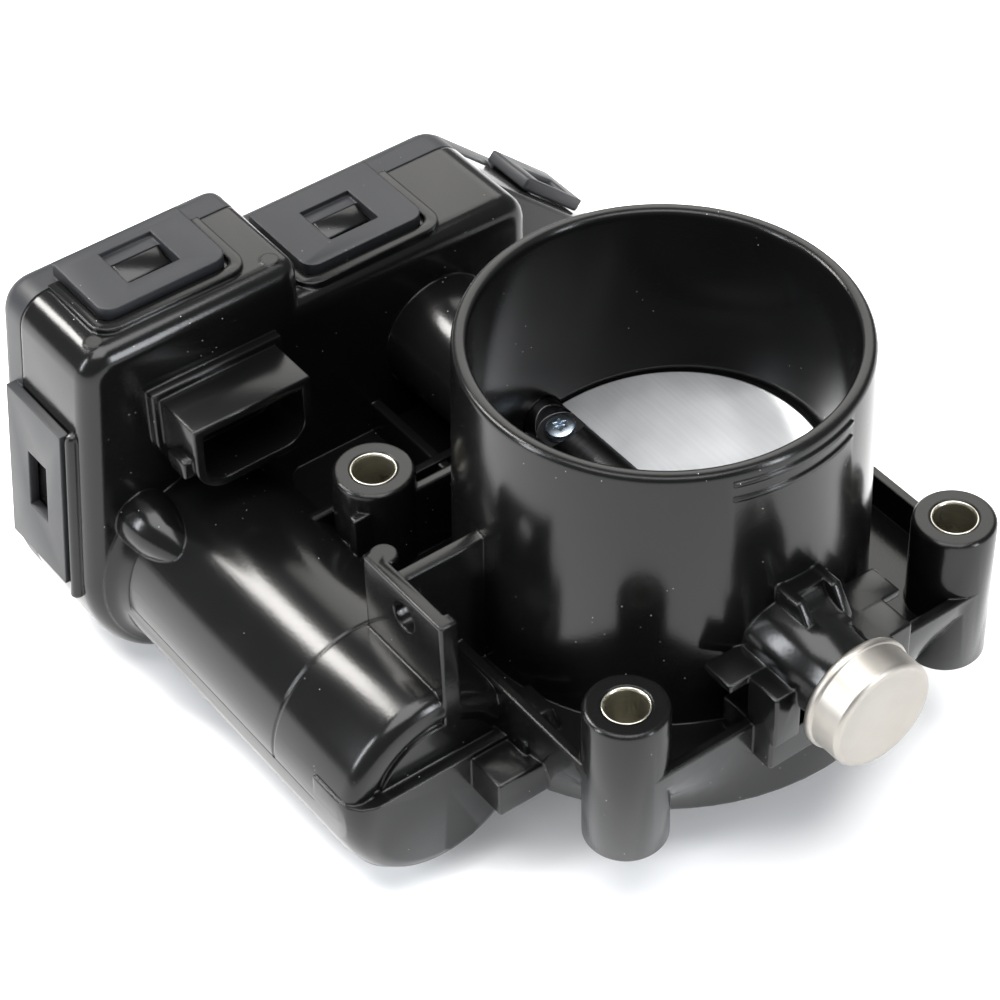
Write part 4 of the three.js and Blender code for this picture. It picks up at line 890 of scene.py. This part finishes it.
# Slot by slot: name, the two colours, then lowest and highest roughness; plastics go on with the edge in
# metres, coat, grain, dust and shine, and metals with the stretch or the centre of the rings.
FINISHES = {
    "housing_plastic": moulded(
        "black_moulding", rgb(0.0022, 0.0023, 0.0023), rgb(0.004, 0.004, 0.0039),
        0.13, 0.24, 0.0007, 0.0, 1500, 1.0, 0.24,
    ),
    "cover_plastic": moulded(
        "charcoal_moulding", rgb(0.009, 0.0095, 0.0115), rgb(0.014, 0.0145, 0.0165),
        0.4, 0.55, 0.0005, 0.0, 1800, 0.6, 0.3,
    ),
    "seal_rubber": moulded(
        "seal_rubber", rgb(0.01, 0.01, 0.01), rgb(0.016, 0.016, 0.016),
        0.6, 0.75, 0.0002, 0.0, 900, 0.0,
    ),
    "sleeve_steel": metal(
        "zinc_sleeve", rgb(0.46, 0.44, 0.36), rgb(0.68, 0.66, 0.58),
        0.2, 0.36, (300, 300, 2500),
    ),
    "cap_nickel": turned_metal(
        "satin_nickel", rgb(0.24, 0.225, 0.205), rgb(0.31, 0.295, 0.27),
        0.36, 0.5, SHAFT,
    ),
    "bearing_steel": metal(
        "ground_steel", rgb(0.42, 0.43, 0.45), rgb(0.55, 0.56, 0.58),
        0.2, 0.35, (2500, 200, 200),
    ),
    "dark_steel": metal(
        "dark_steel", rgb(0.05, 0.05, 0.052), rgb(0.1, 0.1, 0.104),
        0.22, 0.34, (1800, 300, 300),
    ),
    "plate_aluminium": metal(
        "satin_aluminium", rgb(0.55, 0.56, 0.58), rgb(0.66, 0.67, 0.68),
        0.28, 0.4, (60, 1600, 1600),
    ),
    "screw_zinc": metal(
        "blue_zinc", rgb(0.34, 0.42, 0.5), rgb(0.5, 0.57, 0.64),
        0.18, 0.3, (600, 600, 600),
    ),
    "gear_nylon": moulded(
        "cream_nylon", rgb(0.58, 0.54, 0.42), rgb(0.66, 0.62, 0.5),
        0.45, 0.6, 0.0002, 0.0, 1200, 0.0,
    ),
    "brass": metal(
        "bright_brass", rgb(0.6, 0.4, 0.14), rgb(0.72, 0.52, 0.2),
        0.2, 0.32, (1800, 300, 300),
    ),
    "copper": metal(
        "enamelled_copper", rgb(0.42, 0.15, 0.06), rgb(0.56, 0.25, 0.12),
        0.3, 0.45, (200, 1500, 1500),
    ),
    "carbon": moulded(
        "sintered_grey", rgb(0.03, 0.03, 0.032), rgb(0.05, 0.05, 0.052),
        0.5, 0.65, 0.0002, 0.0, 1400, 0.0,
    ),
    "board_laminate": moulded(
        "green_laminate", rgb(0.012, 0.09, 0.04), rgb(0.02, 0.13, 0.06),
        0.35, 0.5, 0.0001, 0.2, 700, 0.0,
    ),
}


def dress(piece, slot):
    """Gives a piece the one material of its slot."""
    piece.data.materials.clear()
    piece.data.materials.append(FINISHES[slot])


def place(piece, body, slot, *nodes):
    """Finishes a piece and puts it on its body, in place of the nodes it covers."""
    smooth(piece)
    dress(piece, slot)
    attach(piece, body)
    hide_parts(*nodes)


# ---- Assembly ----

for entry in frame["record"]["subparts"]:
    node = frame["nodes"][entry["node"]]
    dress(node, entry["material_slot"])

place(housing(), "root", "housing_plastic", "throttle_housing")
place(cover(), "root", "cover_plastic", "gear_cover")
place(end_cap(), "root", "cap_nickel", "shaft_end_cap")
for number, spot in enumerate(BOLTS, 1):
    place(sleeve(number, spot), "root", "sleeve_steel", f"mounting_sleeve_{number}")
place(shaft_rod(), "throttle", "dark_steel", "throttle_shaft")
place(plate_disc(), "throttle", "plate_aluminium", "throttle_plate")
for number, across in enumerate((-PLATE_SCREW_X, PLATE_SCREW_X), 1):
    place(plate_screw(number, across), "throttle", "screw_zinc", f"plate_screw_{number}")


# ---- Camera, light and floor ----

FLOOR_Z = -0.0232  # metres, just below the lowest point of the motor's tray
WARM = (1.0, 0.985, 0.95)
COOL = (0.93, 0.96, 1.0)


def aim(thing, position, right, up, back):
    """Sets an object's place and its three directions."""
    thing.matrix_world = Matrix((
        (right.x, up.x, back.x, position.x),
        (right.y, up.y, back.y, position.y),
        (right.z, up.z, back.z, position.z),
        (0, 0, 0, 1),
    ))


def camera():
    azimuth = math.radians(54.459)
    elevation = math.radians(43.439)
    roll = math.radians(-1.67)
    back = Vector((
        math.sin(azimuth) * math.cos(elevation),
        -math.cos(azimuth) * math.cos(elevation),
        math.sin(elevation),
    ))
    level = Vector((math.cos(azimuth), math.sin(azimuth), 0))
    above = back.cross(level)
    right = math.cos(roll) * level + math.sin(roll) * above
    up = -math.sin(roll) * level + math.cos(roll) * above
    data = bpy.data.cameras.new("camera")
    data.sensor_width = 36
    data.lens = 117.3
    data.clip_start = 0.01
    thing = bpy.data.objects.new("camera", data)
    bpy.context.collection.objects.link(thing)
    aim(thing, Vector((359.8, -295.9, 473.9)) * MM, right, up, back)
    bpy.context.scene.camera = thing


def softbox(name, position, target, width, height, power, colour=(1, 1, 1)):
    """A rectangular lamp that faces its target."""
    data = bpy.data.lights.new(name, "AREA")
    data.shape = "RECTANGLE"
    data.size = width
    data.size_y = height
    data.energy = power
    data.color = colour
    thing = bpy.data.objects.new(name, data)
    bpy.context.collection.objects.link(thing)
    position, target = Vector(position), Vector(target)
    thing.location = position
    thing.rotation_euler = (target - position).to_track_quat("-Z", "Y").to_euler()


def floor():
    deselect()
    bpy.ops.mesh.primitive_plane_add(size=6, location=(0, 0, FLOOR_Z))
    ground = bpy.context.object
    ground.name = "studio_floor"
    finish = Finish("pale_floor")
    grey = finish.blend(finish.noise(3, 2), rgb(0.92, 0.92, 0.92), rgb(0.95, 0.95, 0.95))
    finish.set(Base_Color=grey, Roughness=0.9)
    ground.data.materials.append(finish.material)


def world_light():
    world = bpy.data.worlds.new("studio")
    world.use_nodes = True
    shade = world.node_tree.nodes["Background"]
    shade.inputs["Color"].default_value = rgb(0.95, 0.97, 1.0)
    shade.inputs["Strength"].default_value = 0.4
    bpy.context.scene.world = world


camera()
floor()
world_light()
softbox("overhead", (0.1, -0.1, 1.1), (0, 0, 0), 0.9, 0.9, 22)
softbox("back_bank", (-0.75, 0.6, 0.75), (0, 0, 0.0), 0.7, 0.6, 5, WARM)
softbox("barrel_bank", (-0.62, -0.3, 0.8), (-0.03, -0.06, 0.02), 0.22, 0.5, 15, WARM)
softbox("left_bank", (-0.25, -0.9, 0.5), (-0.03, -0.03, 0.0), 0.14, 0.6, 8, COOL)
softbox("right_bank", (0.85, 0.25, 0.35), (0.0, 0.0, 0.03), 0.12, 0.5, 6, COOL)
bpy.context.scene.view_settings.view_transform = "Standard"
